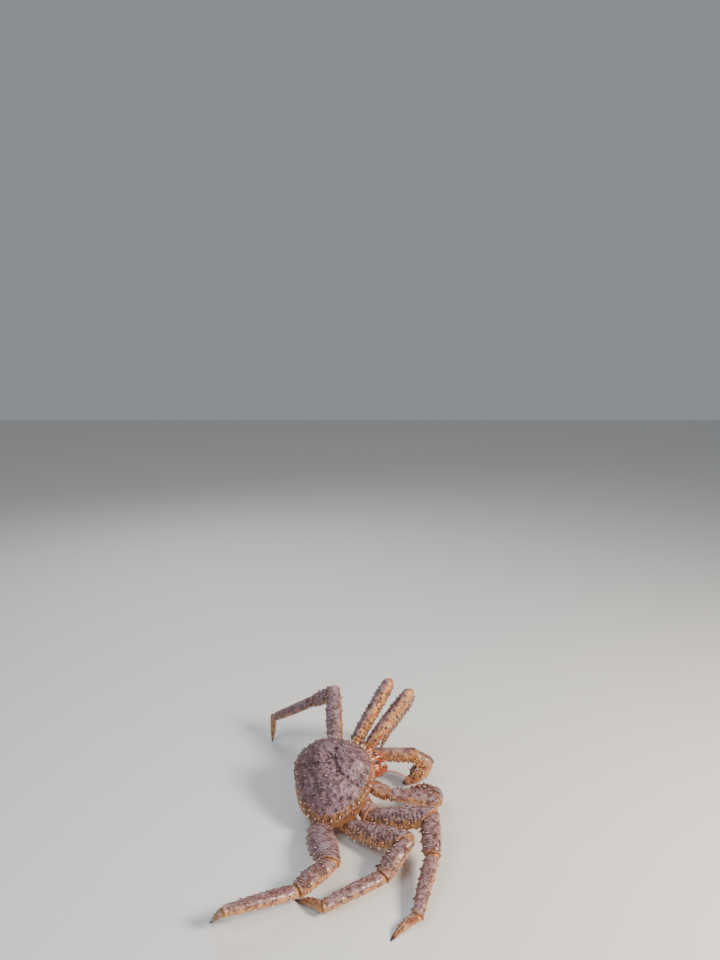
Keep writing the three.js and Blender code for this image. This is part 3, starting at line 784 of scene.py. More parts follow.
def toe_finish():
    return wet_shell("Toes", toe_colour, roughness=(0.2, 0.4), coat=0.6, strength=0.3, pimples=0.2)


def jaw_finish():
    return wet_shell("Jaws", jaw_colour, roughness=(0.22, 0.4), strength=0.4, under=0.1)


def tooth_finish():
    return wet_shell("Teeth", tooth_colour, roughness=(0.25, 0.4), strength=0.1)


def bristle_finish():
    return wet_shell("Bristles", bristle_colour, roughness=(0.3, 0.5), strength=0.0)


def joint_finish():
    return wet_shell(
        "Joint skin", plain_colour("joint", 0.55),
        roughness=(0.22, 0.38), strength=0.3, under=0.2,
    )


def feeler_finish():
    return wet_shell(
        "Feelers", plain_colour("feeler", 0.6),
        roughness=(0.2, 0.4), strength=0.2, under=0.2,
    )


def eye_finish():
    return wet_shell("Eye", plain_colour("eye", 0.7), roughness=(0.03, 0.07), coat=1.0, strength=0.0)


def instance_shape(name, heights, radii, sides, bend):
    """A small pointed shape of unit height that leans ahead, with its rise as an attribute."""
    found = bpy.data.objects.get(name)
    if found:
        return found
    turn = np.linspace(0, 2 * np.pi, sides, endpoint=False)
    rings = [
        [(r * math.cos(a) + bend * max(h, 0) ** 2, r * math.sin(a), h) for a in turn]
        for h, r in zip(heights, radii)
    ]
    rise = np.clip(heights, 0, 1)[:, None]
    return bpy.data.objects.new(name, skin(name, np.array(rings), rise=rise))


def spine_shape():
    heights = [-0.25, 0, 0.15, 0.4, 0.72, 0.95]
    radii = [1.7, 1.3, 0.85, 0.52, 0.27, 0.1]
    return instance_shape("spine_shape", heights, radii, 7, 0.45)


def granule_shape():
    return instance_shape("granule_shape", [-0.4, 0.1, 0.65, 0.95], [1.25, 1, 0.7, 0.3], 6, 0.15)


def bristle_shape():
    return instance_shape("bristle_shape", [-0.1, 0.4, 1], [1, 0.75, 0.2], 4, 1.6)


def stand_tree():
    """Stands a shape on every root, by the root's own turn and size, and joins them to the shell."""
    found = bpy.data.node_groups.get("Stand on roots")
    if found:
        return found
    tree = bpy.data.node_groups.new("Stand on roots", "GeometryNodeTree")
    new = tree.interface.new_socket
    new("Shell", in_out="INPUT", socket_type="NodeSocketGeometry")
    new("Roots", in_out="INPUT", socket_type="NodeSocketObject")
    new("Shape", in_out="INPUT", socket_type="NodeSocketObject")
    new("Length", in_out="INPUT", socket_type="NodeSocketFloat").default_value = 1.0
    new("Size Wander", in_out="INPUT", socket_type="NodeSocketFloat").default_value = 0.12
    new("Finish", in_out="INPUT", socket_type="NodeSocketMaterial")
    new("Shell", in_out="OUTPUT", socket_type="NodeSocketGeometry")
    given = tree.nodes.new("NodeGroupInput")
    out = tree.nodes.new("NodeGroupOutput")
    roots = add(tree, "GeometryNodeObjectInfo", {"Object": given.outputs["Roots"]})
    shape = add(tree, "GeometryNodeObjectInfo", {"Object": given.outputs["Shape"]})

    def told(name):
        made = add(tree, "GeometryNodeInputNamedAttribute", {"Name": name}, data_type="FLOAT_VECTOR")
        return made.outputs["Attribute"]

    stood = add(tree, "FunctionNodeAlignRotationToVector", {"Vector": told("lean")}, axis="Z")
    faced = add(
        tree, "FunctionNodeAlignRotationToVector",
        {"Rotation": stood.outputs[0], "Vector": told("ahead")}, axis="X", pivot_axis="Z",
    )
    wander = add(tree, "FunctionNodeRandomValue", {"Seed": SEED}, data_type="FLOAT")
    share = given.outputs["Size Wander"]
    tree.links.new(maths(tree, "SUBTRACT", 1.0, share), wander.inputs[2])
    tree.links.new(maths(tree, "ADD", 1.0, share), wander.inputs[3])
    size = add(tree, "ShaderNodeVectorMath", {0: told("size")}, operation="SCALE")
    grown = maths(tree, "MULTIPLY", given.outputs["Length"], wander.outputs[1])
    tree.links.new(grown, size.inputs["Scale"])
    placed = add(
        tree, "GeometryNodeInstanceOnPoints",
        {
            "Points": roots.outputs["Geometry"],
            "Instance": shape.outputs["Geometry"],
            "Rotation": faced.outputs[0],
            "Scale": size.outputs[0],
        },
    )
    real = add(tree, "GeometryNodeRealizeInstances", {"Geometry": placed.outputs[0]})
    dressed = add(
        tree, "GeometryNodeSetMaterial",
        {"Geometry": real.outputs[0], "Material": given.outputs["Finish"]},
    )
    joined = tree.nodes.new("GeometryNodeJoinGeometry")
    tree.links.new(dressed.outputs[0], joined.inputs[0])
    tree.links.new(given.outputs["Shell"], joined.inputs[0])
    tree.links.new(joined.outputs[0], out.inputs[0])
    return tree


class Roots:
    """Root points of spines or the like: place, lean, the way they bend, size and tone."""

    def __init__(self, shape, finish):
        self.shape = shape
        self.finish = finish
        self.rows = []

    def put(self, at, lean, ahead, length, radius, tone=0.0):
        self.rows.append((at, lean, ahead, (radius, radius, length), tone))

    def mesh(self, name):
        made = bpy.data.meshes.new(name)
        made.from_pydata([tuple(r[0]) for r in self.rows], [], [])
        for word, column in (("lean", 1), ("ahead", 2), ("size", 3)):
            flat = np.array([r[column] for r in self.rows], np.float32).ravel()
            made.attributes.new(word, "FLOAT_VECTOR", "POINT").data.foreach_set("vector", flat)
        tones = np.array([r[4] for r in self.rows], np.float32)
        made.attributes.new("tone", "FLOAT", "POINT").data.foreach_set("value", tones)
        return made


def with_growths(name, mesh, main, kinds):
    """The shell's mesh with its spines and the like standing on it, as one plain mesh."""
    entries = stand_tree().interface.items_tree
    sockets = {entry.name: entry.identifier for entry in entries if entry.in_out == "INPUT"}
    mesh.materials.clear()
    mesh.materials.append(main)
    link = bpy.context.scene.collection.objects.link
    work = bpy.data.objects.new(name + "_work", mesh)
    link(work)
    spare = [work]
    for i, roots in enumerate(k for k in kinds if k.rows):
        holder = bpy.data.objects.new(f"{name}_roots_{i}", roots.mesh(f"{name}_roots_{i}"))
        link(holder)
        spare.append(holder)
        modifier = work.modifiers.new(f"Stand {i}", "NODES")
        modifier.node_group = stand_tree()
        modifier[sockets["Roots"]] = holder
        modifier[sockets["Shape"]] = roots.shape
        modifier[sockets["Length"]] = 1.0
        modifier[sockets["Size Wander"]] = 0.1
        modifier[sockets["Finish"]] = roots.finish
    graph = bpy.context.evaluated_depsgraph_get()
    grown = work.evaluated_get(graph)
    made = bpy.data.meshes.new_from_object(grown, preserve_all_data_layers=True, depsgraph=graph)
    made.name = name
    for thing in spare:
        bpy.data.objects.remove(thing)
    return made


def growth_kinds():
    """Empty roots for the spines and for the granules of one piece."""
    return Roots(spine_shape(), spine_finish()), Roots(granule_shape(), granule_finish())


def finished(name, mesh, main, kinds, nodes, slot):
    """Grows what stands on a shell, then makes the piece of it."""
    made = with_growths(name, mesh, main, kinds)
    return piece(name, made, nodes, slot, main, *[k.finish for k in kinds if k.rows])


def outline_radius(angle):
    """Distance from the shell's middle to its outline, straight between the outline's points."""
    turn = np.abs(np.arctan2(np.sin(angle), np.cos(angle)))
    made = np.zeros_like(turn)
    for (x0, y0), (x1, y1) in zip(OUTLINE, OUTLINE[1:]):
        across = (x1 - x0) * np.sin(turn) - (y1 - y0) * np.cos(turn)
        here = np.abs((x0 * (y1 - y0) - y0 * (x1 - x0)) / np.where(abs(across) < 1e-9, 1e-9, across))
        inside = (turn >= math.atan2(y0, x0) - 1e-9) & (turn <= math.atan2(y1, x1) + 1e-9)
        made = np.where(inside & (made == 0), here, made)
    return made


def smooth_radius(angle):
    """The outline's radius with its corners rounded."""
    offsets = np.radians(np.linspace(-9, 9, 9))
    weights = np.cos(np.linspace(-1.3, 1.3, 9))
    total = sum(w * outline_radius(angle + o) for o, w in zip(offsets, weights))
    return total / weights.sum()


def dome(angle, share, radius=outline_radius):
    """Points of the dome in shell lengths, at a share of the way from its middle to its rim."""
    angle, share = np.asarray(angle, float), np.asarray(share, float)
    reach = radius(angle) * share
    x, y = reach * np.cos(angle), reach * np.sin(angle)
    rise = np.maximum(1 - np.abs(share) ** DOME_EDGE_POWER, 0) ** DOME_FULLNESS
    z = MARGIN_LEVEL + DOME_HEIGHT * rise
    for bx, by, wide, height in SWELLINGS:
        z = z + height * np.exp(-((x - bx) ** 2 + (y - by) ** 2) / wide**2) * (1 - share**6)
    return np.stack([x, y, z], -1)


def dome_lean(angle, share, outward):
    """The upward normal of the dome, leaned outwards."""
    gap = 0.02
    across = dome(angle + gap, share) - dome(angle - gap, share)
    out = dome(angle, share + gap) - dome(angle, share - gap)
    normal = unit(np.cross(out, across))
    normal = normal * np.sign(normal[..., 2:3] + 1e-9)
    flat = np.stack([np.cos(angle), np.sin(angle), 0 * np.asarray(angle)], -1)
    return unit(normal + np.asarray(outward)[..., None] * flat)


def groove_depth(x, y):
    """How far the grooves between the shell's regions sink it, in shell lengths."""
    depth = np.zeros_like(x)
    y = np.abs(y)
    for line in GROOVES:
        near = np.full_like(x, 9.0)
        for (x0, y0), (x1, y1) in zip(line, line[1:]):
            dx, dy = x1 - x0, y1 - y0
            u = np.clip(((x - x0) * dx + (y - y0) * dy) / (dx * dx + dy * dy), 0, 1)
            near = np.minimum(near, np.hypot(x - x0 - u * dx, y - y0 - u * dy))
        depth = np.maximum(depth, GROOVE_DEPTH * bump(near, GROOVE_REACH))
    return depth


def dome_spots(draws):
    """The dome's chief spines, where the solids have them: angle, share, length, outward lean."""
    tries, reach, gap = 2500, 0.85, 0.095
    bare_middle, bare_face = 0.035, 0.4
    length, rim_length = 6.4, 7
    rim_count, rim_start, rim_sweep = 15, 28, 134
    spots = []
    for _ in range(tries):
        share = reach * math.sqrt(draws.draw())
        angle = math.pi * draws.draw()
        p = dome(angle, share)
        if p[1] < bare_middle or p[0] > bare_face:
            continue
        if all(math.hypot(q[0][0] - p[0], q[0][1] - p[1]) > gap for q in spots):
            spots.append((p, angle, share))
    made = []
    for side in (1, -1):
        for _, angle, share in spots:
            turn = side * (angle + 0.02 * (draws.draw() - 0.5))
            made.append((turn, share, length * draws.vary(0.25), 0.25 * share))
        for i in range(rim_count):
            turn = side * math.radians(rim_start + i * rim_sweep / (rim_count - 1))
            made.append((turn, RIM_SHARE, rim_length * draws.vary(0.25), RIM_LEAN))
    return made


def scattered(count, chief, gap_of, rand):
    """Random places on the dome that keep clear of the chief spines and of one another."""
    reach, chief_room = 0.985, 0.006
    share = reach * np.sqrt(rand.random(count))
    turn = rand.uniform(-np.pi, np.pi, count)
    at = dome(turn, share, smooth_radius)
    taken = np.zeros((count + len(chief), 3))
    chief_at = dome([c[0] for c in chief], [c[1] for c in chief], smooth_radius)
    taken[: len(chief), :2] = chief_at[:, :2]
    taken[: len(chief), 2] = chief_room
    used = len(chief)
    kept = []
    gaps = gap_of(at, share)
    for i in range(count):
        far = np.hypot(taken[:used, 0] - at[i, 0], taken[:used, 1] - at[i, 1]) - taken[:used, 2]
        if far.min() > gaps[i]:
            taken[used, :2] = at[i, :2]
            used += 1
            kept.append(i)
    return turn[kept], share[kept], at[kept]


def chief_growths(draws, sizes, spines):
    """The shell's chief spines; gives their spots, and where they swell the shell."""
    chief = dome_spots(draws)
    swells = []
    for turn, share, length, outward in chief:
        flat = np.array([math.cos(turn), math.sin(turn), 0])
        on_rim = outward == RIM_LEAN
        lean = unit(flat + np.array([0, 0, 0.22])) if on_rim else dome_lean(turn, share, outward)
        at = dome(turn, share, smooth_radius)
        length *= sizes.spine_length
        swells.append((at[0], at[1], length))
        radius = sizes.spine_width * length * MM + 0.5 * MM
        place = to_world(at * SHELL_LENGTH)
        spines.put(place, turned(lean), turned(flat), length * MM, radius, 0.5 if on_rim else 0.15)
    return chief, swells


def rim_growths(rand, spines, chief, swells):
    """Two more rows of spines by the rim, shorter on the near side."""
    count, start, sweep = 26, 24, 150
    for side in (1, -1):
        for i in range(count):
            turn = side * math.radians(start + i * sweep / (count - 1) + rand.uniform(-2, 2))
            share = 0.985 if i % 2 else 0.87
            flat = np.array([math.cos(turn), math.sin(turn), 0])
            length = rand.uniform(3.6, 5.4) * (1 if side > 0 or abs(turn) > 2.4 else 0.6)
            at = dome(turn, share, smooth_radius)
            lean = turned(unit(flat + np.array([0, 0, 0.25])))
            radius = (0.34 * length + 0.5) * MM
            spines.put(to_world(at * SHELL_LENGTH), lean, turned(flat), length * MM, radius, 0.55)
            swells.append((at[0], at[1], length))
            chief.append((turn, share, length, 0))


def small_gap(at, share):
    """The room that small spines keep, wider on the smooth near back and by the near rim."""
    smooth_back = bump(at[:, 0] + 0.12, 0.22) * bump(at[:, 1] + 0.26, 0.2)
    near_band = step(-0.12, -0.3, at[:, 1]) * step(0.83, 0.88, share)
    return 0.026 + 0.026 * smooth_back + 0.05 * near_band


def granule_gap(at, share):
    """The room that granules keep, the same everywhere."""
    return 0.013 + 0 * share


def carapace_growths(draws, sizes):
    """Every spine and granule of the shell, and where its spines swell it."""
    rand = np.random.default_rng(SEED)
    spines, granules = growth_kinds()
    chief, swells = chief_growths(draws, sizes, spines)
    rim_growths(rand, spines, chief, swells)
    kinds, chances = [0.45, 0.7, 1.0, 1.35, 1.7], [0.3, 0.27, 0.2, 0.13, 0.1]
    turn, share, at = scattered(5000, chief, small_gap, rand)
    leans = turned(dome_lean(turn, share, 0.3 * share))
    places = to_world(at * SHELL_LENGTH)
    for i in range(len(turn)):
        ahead = turned([math.cos(turn[i]), math.sin(turn[i]), 0])
        kind = rand.choice(kinds, p=chances)
        kind = max(kind, 0.9) + 0.3 if share[i] > 0.84 else kind
        length = sizes.small_spine * kind
        tone = 0.1 + 0.6 * float(step(0.84, 0.95, share[i]))
        swells.append((at[i, 0], at[i, 1], 0.8 * length / MM))
        spines.put(places[i], leans[i], ahead, length, 0.36 * length + 0.25 * MM, tone)
    busy = chief + [(turn[i], share[i], 0, 0) for i in range(len(turn))]
    turn, share, at = scattered(6000, busy, granule_gap, rand)
    leans = turned(dome_lean(turn, share, 0.1 * share))
    places = to_world(at * SHELL_LENGTH)
    for i in range(len(turn)):
        ahead = turned([math.cos(turn[i]), math.sin(turn[i]), 0])
        length = sizes.granule * rand.uniform(0.5, 1.2)
        granules.put(places[i], leans[i], ahead, length, 0.75 * length, 0.1 + 0.5 * (share[i] > 0.9))
    return spines, granules, swells


def brow_growths(spines):
    """The forked beak over the face, and the spines beside each eye."""
    spikes = list(BEAK_SPINES)
    for side in (1, -1):
        for across, share, (ahead, out, up), length in BROW_SPINES:
            spikes.append((across * side, share, (ahead, out * side, up), length))
    for across, share, lean, length in spikes:
        at = dome(math.atan2(across, OUTLINE[0][0]), share, smooth_radius)
        radius = (0.17 * length + 0.9) * MM
        place = to_world(at * SHELL_LENGTH)
        spines.put(place, unit(turned(lean)), turned([1, 0, 0]), length * MM, radius, 0.8)


class CarapaceSurface:
    """The shell's surface, ring by ring from the top over the rim and down the flanks, in shell lengths."""

    def __init__(self):
        dome_rows = np.linspace(1.2, 90, 84)
        flank_rows = np.linspace(91, WALL_END, 34)
        floor_rows = np.linspace(145, 176, 7)
        angles = np.linspace(-np.pi, np.pi, 256, endpoint=False)
        turn, polar = np.meshgrid(angles, np.concatenate([dome_rows, flank_rows, floor_rows]))
        self.turn = turn
        self.share = np.where(polar <= 90, np.sin(np.radians(polar)), 1)
        self.fall = np.clip((polar - 90) / (WALL_END - 90), 0, 1)
        self.on_dome = step(92, 86, polar)
        body = dome(turn, self.share, smooth_radius)
        lean_in = FLANK_LEAN + FACE_LEAN * np.maximum(0, np.cos(turn))
        inward = np.minimum(1, (180 - polar) / (180 - WALL_END))
        body[..., :2] *= ((1 - lean_in * self.fall * self.fall) * inward)[..., None]
        body[..., 2] += (FLANK_FLOOR - MARGIN_LEVEL) * self.fall
        self.groove = groove_depth(body[..., 0], body[..., 1]) * self.on_dome
        body[..., 2] -= self.groove * np.minimum(step(0, 0.25, 1 - self.share) + 0.3, 1)
        self.body = body

    def feet(self, swells):
        """How far each spine swells the shell at its foot, and the dark ring round its foot: partly the
        spine's dark pigment, partly painted shadow.
        """
        body, on_dome = self.body, self.on_dome
        swell = np.zeros(self.turn.shape)
        halo = np.zeros(self.turn.shape)
        for x, y, length in swells:
            far = np.hypot(body[..., 0] - x, body[..., 1] - y)
            foot = (0.55 * length + 0.5) * MM / SHELL_LENGTH
            near = bump(far, foot) * on_dome
            swell = np.maximum(swell, 0.0026 * length * near)
            if length > 2:
                halo = np.maximum(halo, bump(far, 0.95 * foot) * on_dome * min(1, length / 3.4))
        return swell, halo

    def pale_band(self):
        """The tan band along the rim and the flanks, wider on the near side."""
        near_side = step(0.15, -0.55, np.sin(self.turn))
        band = 0.965 - 0.1 * near_side
        edge = self.share + 0.012 * np.sin(23 * self.turn)
        return step(band, band + 0.05, edge) * (0.9 + 0.1 * np.cos(self.turn))

    def ridges(self, pale):
        """Wavy ridges that run round the band, from -1 to 1."""
        turn, fall = self.turn, self.fall
        on_flank = step(0.02, 0.12, fall) * step(1, 0.85, fall)
        on_band = np.maximum(0.6 * step(0.3, 0.9, pale) * self.on_dome, on_flank)
        band_run = 3.5 * step(0.85, 1, self.share) + 7 * fall
        return np.sin(2 * np.pi * (band_run + 0.3 * np.sin(3 * turn) + 0.12 * np.sin(11 * turn))) * on_band

    def raise_by(self, swell, ridges):
        """Lifts the surface by its swellings, ridges and soft waves."""
        body = self.body
        outward = unit(body - np.array([-0.03, 0, -0.35]))
        waves = rumple(body, 12, 2) * 0.003 + rumple(body, 24, 2) * 0.0042 + rumple(body, 50, 3) * 0.0024
        body += outward * (swell + waves + 0.0018 * ridges)[..., None]

    def masks(self, pale, halo, ridges):
        """The masks that the shell's colours read."""
        body, on_dome = self.body, self.on_dome
        # Painted shade: the troughs between the flank's ridges and the grooves between the dome's regions
        # are darkened.
        flank_trough_shade = 0.9 * step(0.25, -0.75, ridges)
        halo = np.maximum(halo, np.maximum(flank_trough_shade, 0.3 * self.groove / GROOVE_DEPTH))
        # The pale patches: partly the shell's own lilac, partly a painted sheen; brown is lowered where
        # they lie.
        patch = np.zeros(self.turn.shape)
        for x, y, reach in LILAC_AND_SHEEN_PATCHES:
            patch = np.maximum(patch, bump(np.hypot(body[..., 0] - x, body[..., 1] - y), reach) * on_dome)
        marks = bump(patch - 0.35, 0.18) * step(0, 0.35, rumple(body, 26, 2)) * on_dome
        halo = np.maximum(halo, 0.55 * marks)
        # Browner towards the far side and the rear: partly the shell's own colour, partly painted shade.
        far_side = step(-0.05, 0.5, body[..., 1]) + 0.55 * step(-0.2, -0.5, body[..., 0])
        brown = 0.5 + 0.4 * far_side + 0.6 * pale - 0.95 * patch + 0.4 * rumple(body, 7, 2)
        face = step(0.86, 0.97, np.cos(self.turn)) * step(0.9, 1, self.share)
        warm = 0.8 * face + 0.2 * self.fall
        return dict(pale=pale, halo=halo, warm=warm, brown=np.clip(brown, 0, 1))


class CRAB_OT_carapace(bpy.types.Operator):
    """Makes the domed shell with its grooves, spines, ridged flanks and forked brow"""

    bl_idname = "crab.carapace"
    bl_label = "Carapace"

    def execute(self, context):
        spines, granules, swells = carapace_growths(Draws(SEED), context.scene.crab_sizes)
        brow_growths(spines)
        surface = CarapaceSurface()
        swell, halo = surface.feet(swells)
        pale = surface.pale_band()
        ridges = surface.ridges(pale)
        surface.raise_by(swell, ridges)
        masks = surface.masks(pale, halo, ridges)
        mesh = skin("carapace_shell", to_world(surface.body * SHELL_LENGTH), **masks)
        finished("carapace_shell", mesh, shell_finish(), [spines, granules], ["carapace"], "shell")
        return {"FINISHED"}


class CRAB_OT_breast_and_tail(bpy.types.Operator):
    """Makes the ribbed breast under the shell and the plated tail flap folded beneath it"""

    bl_idname = "crab.breast_and_tail"
    bl_label = "Breast and tail"

    def execute(self, context):
        turn, polar = np.meshgrid(
            np.linspace(-np.pi, np.pi, 120, endpoint=False), np.radians(np.linspace(3, 177, 80))
        )
        long, wide, deep = BREAST_SIZE
        x = long * np.sin(polar) * np.cos(turn)
        y = wide * np.sin(polar) * np.sin(turn)
        z = deep * np.cos(polar)
        wave = np.cos(x * 2 * np.pi / RIB_STEP)
        ribs = step(0.03, 0.1, np.abs(y)) * (z < 0)
        body = np.stack([x + BREAST_FORWARD, y, np.minimum(z, -0.004) + FLANK_FLOOR], -1)
        outward = unit(body - np.array([BREAST_FORWARD, 0, FLANK_FLOOR + 0.1]))
        rise = 0.007 * ribs * np.abs(wave) ** 0.5 - 0.006 + rumple(body, 30) * 0.002
        body += outward * rise[..., None]
        # Painted shade: the creases between the ribs are darkened towards rust.
        crease_shade = bump(wave, 0.25) * ribs
        mesh = skin("breast_plates", to_world(body * SHELL_LENGTH), halo=crease_shade, warm=0.4 * ribs)
        piece("breast_plates", mesh, ["thorax"], "under_shell", lower_finish())
        self.tail()
        return {"FINISHED"}

    def tail(self):
        """The tail flap: overlapping plates with small spines, folded under the shell."""
        rows, sides, plate_count = 170, 80, 6.5
        t = np.linspace(0, 1, rows)
        line = curve_points([(x, 0, z) for x, z in TAIL_LINE], rows)
        ahead = tangents(line)
        side = np.array([0.0, 1, 0])
        up = unit(np.cross(ahead, side))
        wide = along(TAIL_HALF_WIDTH, t)
        deep = along(TAIL_HALF_THICKNESS, t)
        plates = (t * plate_count) % 1
        ledge = 0.93 + 0.15 * plates**2
        turn = np.linspace(0, 2 * np.pi, sides, endpoint=False)
        s, c = np.sin(turn), np.cos(turn)
        scallop = 0.97 + 0.05 * np.sin(np.pi * plates)
        body = (
            line[:, None]
            + side * (wide * scallop)[:, None, None] * s[None, :, None]
            + up[:, None] * (deep * ledge)[:, None, None] * c[None, :, None]
        )
        columns = bump(s, 0.05) + bump(s - 0.55, 0.05) + bump(s + 0.55, 0.05)
        body += up[:, None] * (rumple(body, 26) * 0.004 - 0.003 * columns * np.sign(c))[..., None]
        pale = np.clip(0.72 + 0.5 * rumple(body, 12), 0, 1)
        # Painted shade along each plate's seam and in the dents of the three columns.
        seam_shade = np.maximum(bump(plates - 0.02, 0.06)[:, None] + 0 * s, 0.6 * columns)
        mesh = skin("tail_plates", to_world(body * SHELL_LENGTH), pale=pale, halo=0.8 * seam_shade, warm=0.2)
        rand = random.Random(SEED + 1)
        spines, granules = growth_kinds()
        for _ in range(520):
            row, k = rand.randrange(4, rows - 6), rand.randrange(sides)
            if c[k] > 0.1 and row > 40:
                continue
            outward = unit(side * s[k] * 0.3 + up[row] * c[k])
            length = rand.uniform(0.7, 1.9) * MM
            at = to_world(body[row, k] * SHELL_LENGTH)
            kind = spines if length > 1.5 * MM else granules
            kind.put(at, turned(outward), turned(ahead[row]), length, 0.5 * length + 0.25 * MM, 0.7)
        finished("tail_plates", mesh, shell_finish(), [spines, granules], ["abdomen"], "under_shell")


def body_tube(name, points, radii, sides, rows, flat=1.0, rings=0, ring_depth=0.0):
    """A tapering tube through points given in shell lengths, with radii in millimetres."""
    line = curve_points(np.array(points) * SHELL_LENGTH, rows)
    ahead = tangents(line)
    side = unit(np.cross(np.array([0.0, 0, 1]), ahead))
    up = np.cross(ahead, side)
    t = np.linspace(0, 1, rows)
    dents = ring_depth * bump(((t * rings) % 1) - 0.5, 0.12) if rings else 0 * t
    radius = along(radii, t) * MM * (1 - dents)
    turn = np.linspace(0, 2 * np.pi, sides, endpoint=False)
    grid = line[:, None] + radius[:, None, None] * (
        side[:, None] * np.sin(turn)[None, :, None] * flat + up[:, None] * np.cos(turn)[None, :, None]
    )
    # Painted shade in each ring's dent; of these finishes only the jaws' reads it.
    dark = (bump(((t * rings) % 1) - 0.5, 0.12) if rings else 0 * t)[:, None]
    return skin(name, to_world(grid), rise=t[:, None], pale=1, halo=dark, warm=0.5)


def head_tube(name, kind, side, sides, rows, flat=1.0, rings=0, ring_depth=0.0):
    """One of the head's tubes, on the side that is 1 for left and -1 for right."""
    path, radii = HEAD_TUBES[kind]
    points = [(x, y * side, z) for x, y, z in path]
    return body_tube(name, points, radii, sides, rows, flat, rings, ring_depth)


def bead(name, centre, radii, sides=28):
    """A round bead at a point in shell lengths, with its three radii in millimetres."""
    turn, polar = np.meshgrid(
        np.linspace(-np.pi, np.pi, sides, endpoint=False), np.radians(np.linspace(6, 174, sides // 2))
    )
    ball = np.stack([np.sin(polar) * np.cos(turn), np.sin(polar) * np.sin(turn), np.cos(polar)], -1)
    grid = np.array(centre) * SHELL_LENGTH + ball * np.array(radii) * MM
    return skin(name, to_world(grid))


class CRAB_OT_head(bpy.types.Operator):
    """Makes the stalked eyes, the long and short feelers and the bristly jaws"""

    bl_idname = "crab.head"
    bl_label = "Head"

    def execute(self, context):
        for word, side in (("left", 1), ("right", -1)):
            self.eye(word, side)
            self.antenna(word, side)
            self.antennule(word, side)
            self.jaw(word, side)
            self.palps(word, side)
        plate = bead("mouth_plate", (0.45, 0, -0.185), (9, 18, 9), 48)
        piece("mouth_plate", plate, [], "feeler", jaw_finish())
        return {"FINISHED"}

    def eye(self, word, side):
        stalk = head_tube("stalk", "stalk", side, 20, 16)
        ball = bead("eye_ball", (0.498, 0.065 * side, -0.07), (3.2, 3.1, 3.2))
        piece("eye_stalk_" + word, stalk, [], "feeler", feeler_finish())
        piece("eye_ball_" + word, ball, ["eye_" + word], "eye", eye_finish())

    def antenna(self, word, side):
        """The long feeler: its thick base with a scale beside it, and its ringed whip."""
        base = head_tube("base", "base", side, 24, 40, rings=3, ring_depth=0.2)
        scale = head_tube("scale", "scale", side, 14, 16, flat=0.6)
        whip = head_tube("whip", "whip", side, 10, 330, rings=66, ring_depth=0.22)
        mesh = merged("feeler_long_" + word, [base, scale, whip])
        piece("feeler_long_" + word, mesh, ["antenna_" + word], "feeler", feeler_finish())

    def antennule(self, word, side):
        """The short feeler and its fork."""
        stem = head_tube("stem", "stem", side, 16, 60, rings=5, ring_depth=0.2)
        fork = head_tube("fork", "fork", side, 10, 24, rings=8, ring_depth=0.2)
        mesh = merged("feeler_short_" + word, [stem, fork])
        piece("feeler_short_" + word, mesh, ["antennule_" + word], "feeler", feeler_finish())

    def jaw(self, word, side):
        """The outer jaw with bristles on its outer face."""
        rows, bristle_count = 100, 420
        name = "jaw_" + word
        limb = head_tube(name, "jaw", side, 30, rows, flat=0.8, rings=4, ring_depth=0.16)
        path, radii = HEAD_TUBES["jaw"]
        path = [(x, y * side, z) for x, y, z in path]
        rand = random.Random(SEED + 3)
        bristles = Roots(bristle_shape(), bristle_finish())
        line = curve_points(np.array(path) * SHELL_LENGTH, rows)
        for _ in range(bristle_count):
            row = rand.randrange(34, 98)
            around = rand.uniform(-1.3, 1.3)
            out = np.array([math.cos(around), 0.8 * math.sin(around) * side, -0.25])
            radius = along(radii, row / (rows - 1)) * MM
            at = to_world(line[row] + unit(out) * radius * 0.9)
            stray = np.array([0.2, rand.uniform(-0.3, 0.3), rand.uniform(-0.5, 0.5)])
            lean = unit(turned(out + stray))
            bristles.put(at, lean, turned([0, 0, -1]), rand.uniform(2.5, 5) * MM, 0.16 * MM)
        made = with_growths(name, limb, jaw_finish(), [bristles])
        piece(name, made, ["maxilliped_" + word], "under_shell", jaw_finish(), bristle_finish())

    def palps(self, word, side):
        """Smaller mouthparts between the jaws and the feelers."""
        tubes = []
        for kind in ("lower_palp", "upper_palp", "outer_palp"):
            tubes.append(head_tube("palp", kind, side, 18, 40, rings=3, ring_depth=0.2))
        name = "mouth_palps_" + word
        piece(name, merged(name, tubes), [], "feeler", feeler_finish())


def limb_joints(name):
    """The six joints of a limb in the part's frame."""
    word, rank = name.split("_")
    rank = int(rank)
    forward, out, up = HIP_ROOTS[rank]
    start = Vector((forward, out if word == "left" else -out, up)) * SHELL_LENGTH
    joints = [np.array(BODY @ start)]
    for i, (bearing, rise) in enumerate(POSE[name]):
        length = LENGTHS[rank][i] * MM * (LEFT_CLAW_SCALE if name == "left_1" and i > 2 else 1)
        here = joints[-1]
        fall = math.asin(min(1, (here[2] + TIP_UNDER_FLOOR) / length))
        r = -fall if rise is TOE else math.radians(rise)
        b = math.radians(bearing)
        heading = np.array([math.cos(r) * math.cos(b), math.cos(r) * math.sin(b), math.sin(r)])
        joints.append(here + length * heading)
    return joints


